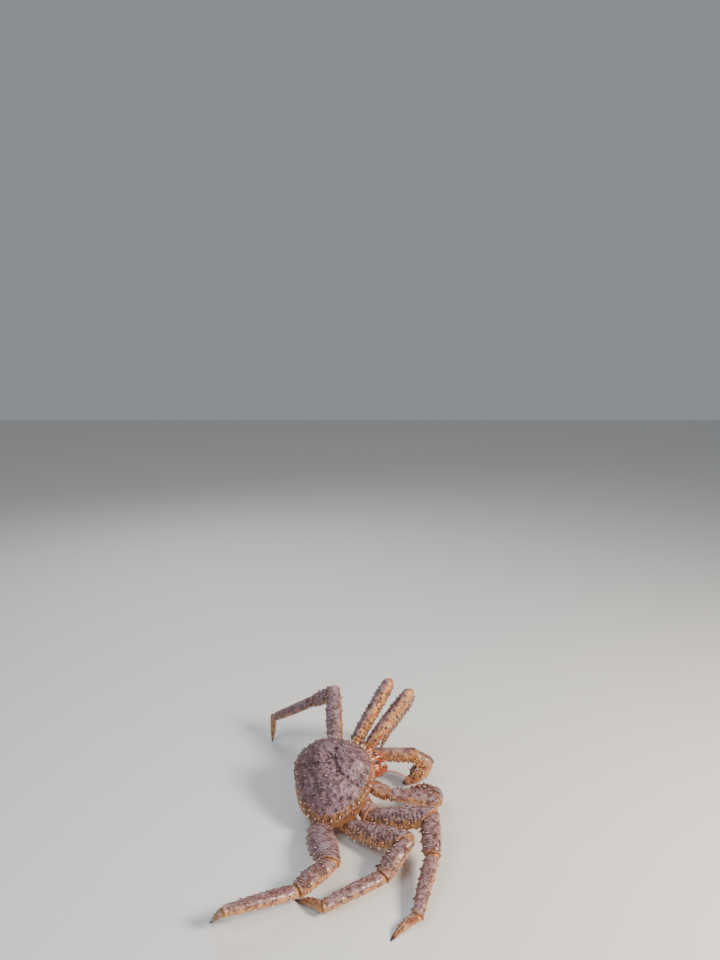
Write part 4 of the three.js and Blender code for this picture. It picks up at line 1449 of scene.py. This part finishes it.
class Limb:
    """A limb's joints, headings and hinge, from which its segments are made."""

    def __init__(self, name):
        self.name = name
        self.claw = name.endswith("_1")
        self.words = CLAW_WORDS if self.claw else LEG_WORDS
        self.joints = limb_joints(name)
        self.heads = [unit(b - a) for a, b in zip(self.joints, self.joints[1:])]
        hinge = np.cross(self.heads[1], self.heads[2]) + np.cross(self.heads[2], self.heads[3])
        self.hinge = unit(hinge)
        self.pale_side = unit(np.array(PALE_SIDE[name]))

    def axes(self, i):
        """Ahead, side and up of a segment; up is the outer side of its bends."""
        ahead = self.heads[i]
        square = unit(self.hinge - ahead * np.dot(self.hinge, ahead))
        up = -np.cross(ahead, square)
        return ahead, np.cross(ahead, up), up

    def length(self, i):
        return float(np.linalg.norm(self.joints[i + 1] - self.joints[i]))

    def scale(self, i):
        """How much smaller than its mirror a segment of the small claw is in girth."""
        return LEFT_CLAW_GIRTH if self.name == "left_1" and i > 0 else 1.0

    def shape(self, i):
        """Half heights and half thicknesses of a segment in metres."""
        word = self.words[i]
        sizes = (CLAW_SHAPES if self.claw else LEG_SHAPES)[word]
        if self.name == "right_4" and word == "merus":
            sizes = BROAD_MERUS
        return [np.array(run) * MM * self.scale(i) for run in sizes]

    def pointed(self, i):
        return self.words[i] in ("dactyl", "finger")


def chief_spots(limb, i, draws):
    """The solids' spines on a segment: place along it, angle round it, length in metres."""
    rows = (CLAW_SPINES if limb.claw else LEG_SPINES)[limb.words[i]]
    length = limb.length(i) / MM
    steps = 4 if length > 80 else 3 if length > 40 else 2
    share = (steps - 1) / steps if limb.pointed(i) else 1
    made = []
    for angle, count, size in rows:
        for k in range(count):
            t = share * (k + 0.55) / (count + 0.1)
            turn = math.radians(angle + 9 * (2 * draws.draw() - 1))
            made.append((t, turn, size * limb.scale(i) * draws.vary(0.2) * MM))
    return made


def all_chief_spots():
    """Every limb's chief spines, drawn in the solids' order."""
    draws = Draws(SEED)
    dome_spots(draws)
    made = {}
    for name in POSE:
        limb = Limb(name)
        made[name] = [chief_spots(limb, i, draws) for i in range(5)]
    return made


def small_spots(limb, i, chief, rand, sizes):
    """Small spines in loose rings between the chief ones, then granules between those."""
    word = limb.words[i]
    length = limb.length(i)
    ring, spread, size = SMALL_RINGS[word]
    reach = 0.68 if limb.pointed(i) else 0.96
    girth = float(limb.shape(i)[0].mean())
    taken = np.array([(t * length, turn, 0.4 * s) for t, turn, s in chief])

    def clear(t, turn, gap):
        arc = np.abs((turn - taken[:, 1] + np.pi) % (2 * np.pi) - np.pi) * girth
        return (np.hypot(t * length - taken[:, 0], arc) - taken[:, 2]).min() > gap

    small, grains = [], []
    rings = max(2, int(length * reach / (ring * MM)))
    for r in range(rings):
        for k in range(int(360 / spread)):
            turn = math.radians(spread * (k + 0.5 * (r % 2)) + rand.uniform(-7, 7)) - math.pi
            t = 0.04 + reach * (r + 0.5 + rand.uniform(-0.16, 0.16)) / rings
            below = abs(turn) > 2.2
            if rand.random() < (0.45 if below else 0.12) or t > reach or not clear(t, turn, 2.0 * MM):
                continue
            made = sizes.small_spine * size * rand.choice((0.6, 0.8, 1, 1, 1.3, 1.5)) * limb.scale(i)
            small.append((t, turn, made * (0.7 if below else 1)))
            taken = np.vstack([taken, (t * length, turn, 0.4 * made)])
    for _ in range(int(length / MM * 4.5)):
        t, turn = rand.uniform(0.03, reach), rand.uniform(-math.pi, math.pi)
        if clear(t, turn, 1.3 * MM):
            made = sizes.granule * rand.uniform(0.5, 1.15)
            grains.append((t, turn, made))
            taken = np.vstack([taken, (t * length, turn, 0.2 * made)])
    return small, grains


def section(limb, i, t, turn):
    """Axis points, arms to the surface, outward directions and half sizes of a plain segment."""
    high, thick = limb.shape(i)
    ahead, side, up = limb.axes(i)
    inside = np.clip(t, 0, 1)
    half_up, half_side = along(high, inside), along(thick, inside)
    bow = BOW.get(limb.words[i], 0) * MM * 4 * inside * (1 - inside)
    axis = limb.joints[i] + ahead * (limb.length(i) * np.asarray(t))[..., None] + up * bow[..., None]
    s, c = np.sin(turn), np.cos(turn)
    out = unit(side * (s / half_side)[..., None] + up * (c / half_up)[..., None])
    arm = side * (half_side * s)[..., None] + up * (half_up * c)[..., None]
    return axis, arm, out, half_side


def segment_rings(limb, i, sizes):
    """Places along a segment and how much each ring shrinks, with rounded ends."""
    length = limb.length(i)
    thick = limb.shape(i)[1]
    count = max(14, int(length / sizes.row_step))
    places = list(np.linspace(0, 1, count))
    shrink = [1.0] * count
    for q in np.radians([18, 36, 54, 70, 82]):
        places.insert(0, -0.95 * math.sin(q) * thick[0] / length)
        shrink.insert(0, math.cos(q))
        if not limb.pointed(i):
            places.append(1 + 0.95 * math.sin(q) * thick[-1] / length)
            shrink.append(math.cos(q))
    return np.array(places), np.array(shrink)


def joint_planes(limb, i):
    """The mitre planes at a segment's ends: inward normal, joint, and whether it is the far end."""
    ahead = limb.heads[i]
    planes = []
    if i > 0:
        planes.append((unit(limb.heads[i - 1] + ahead), limb.joints[i], False))
    if i < 4 and limb.words[i] != "palm":
        planes.append((-unit(limb.heads[i + 1] + ahead), limb.joints[i + 1], True))
    return planes


def feet(limb, i, spots, t, turn, half):
    """How far each spine swells a segment at its foot, and the dark ring round its foot: partly the spine's
    dark pigment, partly painted shadow.
    """
    length = limb.length(i)
    swell = np.zeros(t.shape)
    halo = np.zeros(t.shape)
    for u, angle, size in spots:
        foot = 0.6 * size + 0.6 * MM
        arc = (np.mod(turn - angle + np.pi, 2 * np.pi) - np.pi) * half * 1.15
        far = np.hypot((t - u) * length, arc)
        swell = np.maximum(swell, 0.28 * size * bump(far, foot))
        if size > 1.6 * MM:
            halo = np.maximum(halo, bump(far, 0.85 * foot) * min(0.95, size / (3.2 * MM)))
    return swell, halo


def collars(limb, i, points, t):
    """The collar at a segment's far end, the neck at its root, and the orange that both carry."""
    lip = np.zeros(t.shape)
    warm = np.zeros(t.shape)
    for normal, joint, far_end in joint_planes(limb, i):
        d = (points - joint) @ normal
        if far_end:
            lip += 0.9 * MM * bump(d - 1.8 * MM, 1.5 * MM) - 0.5 * MM * bump(d - 6 * MM, 2.5 * MM)
            warm = np.maximum(warm, 0.65 * bump(d, 4 * MM))
        else:
            lip -= 1.1 * MM * bump(d, 4.5 * MM)
            warm = np.maximum(warm, 0.7 * bump(d, 4 * MM))
    if limb.words[i] == "hip":
        for groove in (0.34, 0.66):
            cut = bump(t - groove, 0.04)
            lip -= 1.4 * MM * cut
            warm = np.maximum(warm, 0.7 * cut)
        warm = np.maximum(warm, 0.25)
    return lip, warm


def ornament(limb, i, t, turn, lip, halo):
    """Flutes on a toe or finger, and scale-like cross ridges on the other segments."""
    word = limb.words[i]
    if limb.pointed(i):
        flutes = np.abs(np.cos(3 * turn)) * step(0, 0.3, t) * step(1, 0.8, t)
        # Painted shade in the flutes' hollows.
        dark = 0.5 * flutes * (np.abs(np.cos(3 * turn)) > 0.8)
        return 0.4 * lip - 0.45 * MM * flutes, np.maximum(halo, dark)
    crest = 0.5 * MM * bump(turn, 0.3)
    ring = SMALL_RINGS[word][0] * MM
    run = t * limb.length(i) / ring + 0.2 * np.sin(3 * turn) + 0.3 * np.sin(1.7 * turn)
    rows = np.cos(2 * np.pi * run)
    upper = step(-0.5, 0.3, np.cos(turn)) * step(0, 0.06, t) * step(1, 0.94, t)
    lip = lip + crest
    lip += SCALE_HEIGHT.get(word, 0) * MM * rows * upper
    # Painted shade in the troughs between the cross ridges.
    dark = 0.5 * step(0.2, -0.9, rows) * upper * (word in SCALE_HEIGHT)
    return lip, np.maximum(halo, dark)


def cut_on_mitres(limb, i, points, turn, sizes):
    """Slides what passes a joint's mitre back onto it, with room for the soft skin."""
    for normal, joint, far_end in joint_planes(limb, i):
        d = (points - joint) @ normal
        inner = step(0.1, -0.9, np.cos(turn))
        gap = sizes.joint_gap + (1.8 * MM if far_end else 0.9 * MM) * inner
        slide = np.maximum(gap - d, 0) / np.dot(normal, limb.heads[i])
        points = points + limb.heads[i] * slide[..., None]
    points[..., 2] = np.maximum(points[..., 2], FLOOR_GAP)
    return points


def segment_grid(limb, i, spots, sizes, sides=54):
    """A segment's surface: swollen at its spines, collared at its far end, cut on each mitre."""
    places, shrink = segment_rings(limb, i, sizes)
    around = np.linspace(-np.pi, np.pi, sides, endpoint=False)
    t, turn = np.meshgrid(places, around, indexing="ij")
    axis, arm, out, half = section(limb, i, t, turn)
    points = axis + arm * shrink[:, None, None]
    swell, halo = feet(limb, i, spots, t, turn, half)
    lip, warm = collars(limb, i, points, t)
    lip, halo = ornament(limb, i, t, turn, lip, halo)
    waves = rumple(points, 80, 2) * 0.5 * MM + rumple(points, 330, 2) * 0.25 * MM
    taper = np.clip(half / (5 * MM), 0.2, 1)
    points = points + out * ((swell + lip + waves * taper) * shrink[:, None])[..., None]
    points = cut_on_mitres(limb, i, points, turn, sizes)
    pale = np.clip(0.5 + 0.62 * (out @ limb.pale_side), 0, 1)
    # Browner from the carpus on, with noise: partly the limb's own colour, partly painted shade.
    brown = np.clip(BROWN[limb.name] + 0.4 * (i > 1) + 0.5 * rumple(points, 45, 2), 0, 1)
    brown *= 1 - 0.9 * step(0.45, 0.85, pale)
    return points, dict(pale=pale, halo=halo, warm=warm, brown=brown, rise=np.clip(t, 0, 1))


def root_spots(limb, i, spots, roots, width, bare):
    """Puts a root on a segment's surface for each spine, clear of the floor and of the joints."""
    if not spots:
        return
    t, turn, size = (np.array(run) for run in zip(*spots))
    axis, arm, out, _ = section(limb, i, t, turn)
    at = axis + arm + out * (0.12 * size)[:, None]
    lean = unit(out + 0.32 * limb.heads[i])
    tone = np.clip(0.6 + 0.8 * (out @ limb.pale_side), 0.38, 1) * SPINE_TONE.get(limb.name, 1)
    planes = joint_planes(limb, i)
    for k in range(len(t)):
        way = lean[k]
        if at[k, 2] < 1 * MM + size[k]:
            way = unit(way + np.array([0, 0, 0.8]))
        if min(at[k, 2], at[k, 2] + way[2] * size[k]) < 0.5 * MM:
            continue
        if any((at[k] - joint) @ normal < bare for normal, joint, _ in planes):
            continue
        roots.put(at[k], way, limb.heads[i], size[k], width * size[k] + 0.25 * MM, tone[k])


def thumb_line(limb):
    """The fixed finger's middle line, its two cross directions and its radii."""
    _, _, up = limb.axes(3)
    small = limb.scale(3) * MM
    lower = -up
    rows = THUMB_ROWS
    end = limb.joints[4]
    tip = end + limb.heads[4] * LENGTHS[1][4] * small * 0.93 + lower * 3.6 * small
    start = limb.joints[3] * 0.45 + end * 0.55 + lower * 6 * small
    knuckle = end + lower * 9.2 * small
    middle = (knuckle + tip) / 2 + lower * 2 * MM
    line = curve_points([start, knuckle, middle, tip], rows)
    on = tangents(line)
    across = unit(limb.hinge - on * (on @ limb.hinge)[:, None])
    over = np.cross(on, across)
    radius = along(THUMB_RADII, np.linspace(0, 1, rows)) * small
    return line, across, over, radius


def palm_with_thumb(limb, palm):
    """The palm and its fixed finger fused into one skin, with the palm's masks carried over."""
    line, across, over, radius = thumb_line(limb)
    turn = np.linspace(-np.pi, np.pi, 30, endpoint=False)
    wide = across[:, None] * (0.95 * np.sin(turn))[None, :, None]
    deep = over[:, None] * (0.85 * np.cos(turn))[None, :, None]
    grid = line[:, None] + radius[:, None, None] * (wide + deep)
    rise = step(0.35, 1, np.linspace(0, 1, THUMB_ROWS))[:, None]
    masks = dict(pale=0.35 + 0.4 * rise, halo=step(0.55, 0.95, rise), warm=0.5 * rise, brown=0.5, rise=0)
    thumb = skin("thumb", grid, **masks)
    work = bpy.data.objects.new("palm_work", merged("palm_work", [palm, thumb]))
    bpy.context.scene.collection.objects.link(work)
    remesh = work.modifiers.new("Fuse", "REMESH")
    remesh.mode = "VOXEL"
    remesh.voxel_size = 0.75 * MM
    graph = bpy.context.evaluated_depsgraph_get()
    made = bpy.data.meshes.new_from_object(work.evaluated_get(graph), depsgraph=graph)
    source = work.data
    near = kdtree.KDTree(len(source.vertices))
    for k, vertex in enumerate(source.vertices):
        near.insert(vertex.co, k)
    near.balance()
    nearest = [near.find(vertex.co)[1] for vertex in made.vertices]
    for word in masks:
        values = np.zeros(len(source.vertices), np.float32)
        source.attributes[word].data.foreach_get("value", values)
        if word in made.attributes:
            made.attributes.remove(made.attributes[word])
        made.attributes.new(word, "FLOAT", "POINT").data.foreach_set("value", values[nearest])
    bpy.data.objects.remove(work)
    face_outwards(made)
    return made


def teeth(limb, i, rand):
    """Blunt white teeth on the edges where the two fingers meet."""
    roots = Roots(granule_shape(), tooth_finish())
    _, _, up = limb.axes(i)
    if limb.words[i] == "finger":
        for t in np.linspace(0.3, 0.88, 13):
            turn = np.array(math.pi + rand.uniform(-0.25, 0.25))
            axis, arm, out, _ = section(limb, i, np.array(t), turn)
            roots.put(axis + arm, out, limb.heads[i], 1.3 * MM, 0.9 * MM, 1)
    else:
        line, _, over, radius = thumb_line(limb)
        side = 1 if float(over[30] @ up) > 0 else -1
        for row in range(17, 41, 2):
            at = line[row] + over[row] * side * radius[row] * 0.82
            roots.put(at, over[row] * side, limb.heads[4], 1.3 * MM, 0.9 * MM, 1)
    return roots


def dress_limb(name, chief_by_segment, sizes):
    """Makes every segment of a limb, then the soft skin of its joints."""
    limb = Limb(name)
    rand = random.Random(SEED + 10 * list(POSE).index(name))
    for i, word in enumerate(limb.words):
        chief = chief_by_segment[i]
        small, grains = small_spots(limb, i, chief, rand, sizes)
        points, masks = segment_grid(limb, i, chief + small, sizes)
        piece_name = f"{name}_{word}_shell"
        mesh = skin(piece_name, points, **masks)
        spines, granules = growth_kinds()
        root_spots(limb, i, chief, spines, sizes.spine_width, 0.5 * MM)
        root_spots(limb, i, small, spines, 0.38, 1.5 * MM)
        root_spots(limb, i, grains, granules, 0.75, 1.0 * MM)
        kinds = [spines, granules]
        if word == "palm":
            mesh = palm_with_thumb(limb, mesh)
        if word in ("palm", "finger"):
            kinds.append(teeth(limb, i, rand))
        main = toe_finish() if limb.pointed(i) else limb_finish()
        slot = {"hip": "under_shell", "dactyl": "tip", "finger": "tip"}.get(word, "shell")
        finished(piece_name, mesh, main, kinds, [f"{name}_{word}"], slot)
    joint_skins(limb)


def joint_skins(limb):
    """A wrinkled bead of soft skin in each joint, seen only between the shells."""
    beads = []
    for i in range(4):
        high, thick = limb.shape(i + 1)
        ahead = unit(limb.heads[i] + limb.heads[i + 1])
        square = unit(limb.hinge - ahead * np.dot(limb.hinge, ahead))
        up = -np.cross(ahead, square)
        turn, polar = np.meshgrid(
            np.linspace(-np.pi, np.pi, 40, endpoint=False), np.radians(np.linspace(5, 175, 34))
        )
        pleat = 1 - 0.035 * np.cos(14 * polar)
        round_part = np.sin(polar) ** 0.7 * pleat
        grid = (
            limb.joints[i + 1]
            + square * (0.82 * thick[0] * round_part * np.sin(turn))[..., None]
            + up * (0.84 * high[0] * round_part * np.cos(turn))[..., None]
            + ahead * (0.8 * thick[0] * np.cos(polar))[..., None]
        )
        grid[..., 2] = np.maximum(grid[..., 2], 0.5 * MM)
        beads.append(skin("bead", grid))
    mesh = merged(limb.name + "_joint_skins", beads)
    piece(limb.name + "_joint_skins", mesh, [], "under_shell", joint_finish())


class CRAB_OT_claws(bpy.types.Operator):
    """Makes the two claw limbs, segment by segment, with their teeth and joints"""

    bl_idname = "crab.claws"
    bl_label = "Claws"

    def execute(self, context):
        spots = all_chief_spots()
        for name in ("right_1", "left_1"):
            dress_limb(name, spots[name], context.scene.crab_sizes)
        return {"FINISHED"}


class CRAB_OT_walking_legs(bpy.types.Operator):
    """Makes the six walking legs, segment by segment, with their joints"""

    bl_idname = "crab.walking_legs"
    bl_label = "Walking legs"

    def execute(self, context):
        spots = all_chief_spots()
        for name in POSE:
            if not name.endswith("_1"):
                dress_limb(name, spots[name], context.scene.crab_sizes)
        return {"FINISHED"}


class CRAB_OT_stage(bpy.types.Operator):
    """Makes the pale floor, the soft lights and the camera"""

    bl_idname = "crab.stage"
    bl_label = "Stage"

    def execute(self, context):
        scene = context.scene
        corners = [(x * FLOOR_REACH, y * FLOOR_REACH, 0) for x, y in ((-1, -1), (1, -1), (1, 1), (-1, 1))]
        mesh = bpy.data.meshes.new("floor")
        mesh.from_pydata(corners, [], [(0, 1, 2, 3)])
        floor = bpy.data.objects.new("floor", mesh)
        scene.collection.objects.link(floor)
        finish = bpy.data.materials.new("Floor")
        finish.use_nodes = True
        surface = finish.node_tree.nodes["Principled BSDF"]
        surface.inputs["Base Color"].default_value = (*scene.crab_colours.floor, 1)
        surface.inputs["Roughness"].default_value = 0.6
        mesh.materials.append(finish)
        for light in LIGHTS:
            self.light(scene, *light)
        world = bpy.data.worlds.new("Studio")
        world.use_nodes = True
        sky = world.node_tree.nodes["Background"]
        sky.inputs["Color"].default_value = SKY_TINT
        sky.inputs["Strength"].default_value = SKY_STRENGTH
        scene.world = world
        self.camera(scene)
        return {"FINISHED"}

    def light(self, scene, name, place, size, power, tint):
        """A soft square light turned to the crab."""
        data = bpy.data.lights.new(name, "AREA")
        data.size = size
        data.energy = power
        data.color = tint
        lamp = bpy.data.objects.new(name, data)
        lamp.location = place
        lamp.rotation_euler = (Vector(place) - LIGHT_AIM).to_track_quat("Z", "Y").to_euler()
        scene.collection.objects.link(lamp)

    def camera(self, scene):
        """Stands where the photo was taken: the same height, tilt and field of view."""
        data = bpy.data.cameras.new("camera")
        data.sensor_fit = "AUTO"
        data.sensor_width = SENSOR_WIDTH
        data.lens = CAMERA_LENS
        eye = bpy.data.objects.new("camera", data)
        eye.location = (*CAMERA_PLACE, scene.crab_sizes.camera_height)
        eye.rotation_euler = (math.radians(90 - CAMERA_TILT), 0, 0)
        scene.collection.objects.link(eye)
        scene.camera = eye


class CRAB_PT_panel(bpy.types.Panel):
    """Lists the crab's pieces in the sidebar"""

    bl_idname = "CRAB_PT_panel"
    bl_label = "Red king crab"
    bl_space_type = "VIEW_3D"
    bl_region_type = "UI"
    bl_category = "Crab"

    def draw(self, context):
        for kind in OPERATORS:
            self.layout.operator(kind.bl_idname)
        for owner in (context.scene.crab_sizes, context.scene.crab_colours):
            box = self.layout.box()
            for word in owner.bl_rna.properties.keys():
                if word not in ("name", "rna_type"):
                    box.prop(owner, word)


OPERATORS = (
    CRAB_OT_stage,
    CRAB_OT_carapace,
    CRAB_OT_breast_and_tail,
    CRAB_OT_head,
    CRAB_OT_claws,
    CRAB_OT_walking_legs,
)
CLASSES = (CrabSizes, CrabColours, *OPERATORS, CRAB_PT_panel)


def register():
    for kind in CLASSES:
        bpy.utils.register_class(kind)
    bpy.types.Scene.crab_sizes = bpy.props.PointerProperty(type=CrabSizes)
    bpy.types.Scene.crab_colours = bpy.props.PointerProperty(type=CrabColours)


def unregister():
    del bpy.types.Scene.crab_colours
    del bpy.types.Scene.crab_sizes
    for kind in reversed(CLASSES):
        bpy.utils.unregister_class(kind)


def main():
    """Makes the stage and every piece."""
    register()
    bpy.ops.crab.stage()
    bpy.ops.crab.carapace()
    bpy.ops.crab.breast_and_tail()
    bpy.ops.crab.head()
    bpy.ops.crab.claws()
    bpy.ops.crab.walking_legs()
    for name in ("spine_shape", "granule_shape", "bristle_shape"):
        bpy.data.objects.remove(bpy.data.objects[name])
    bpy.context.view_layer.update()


if __name__ == "__main__":
    main()
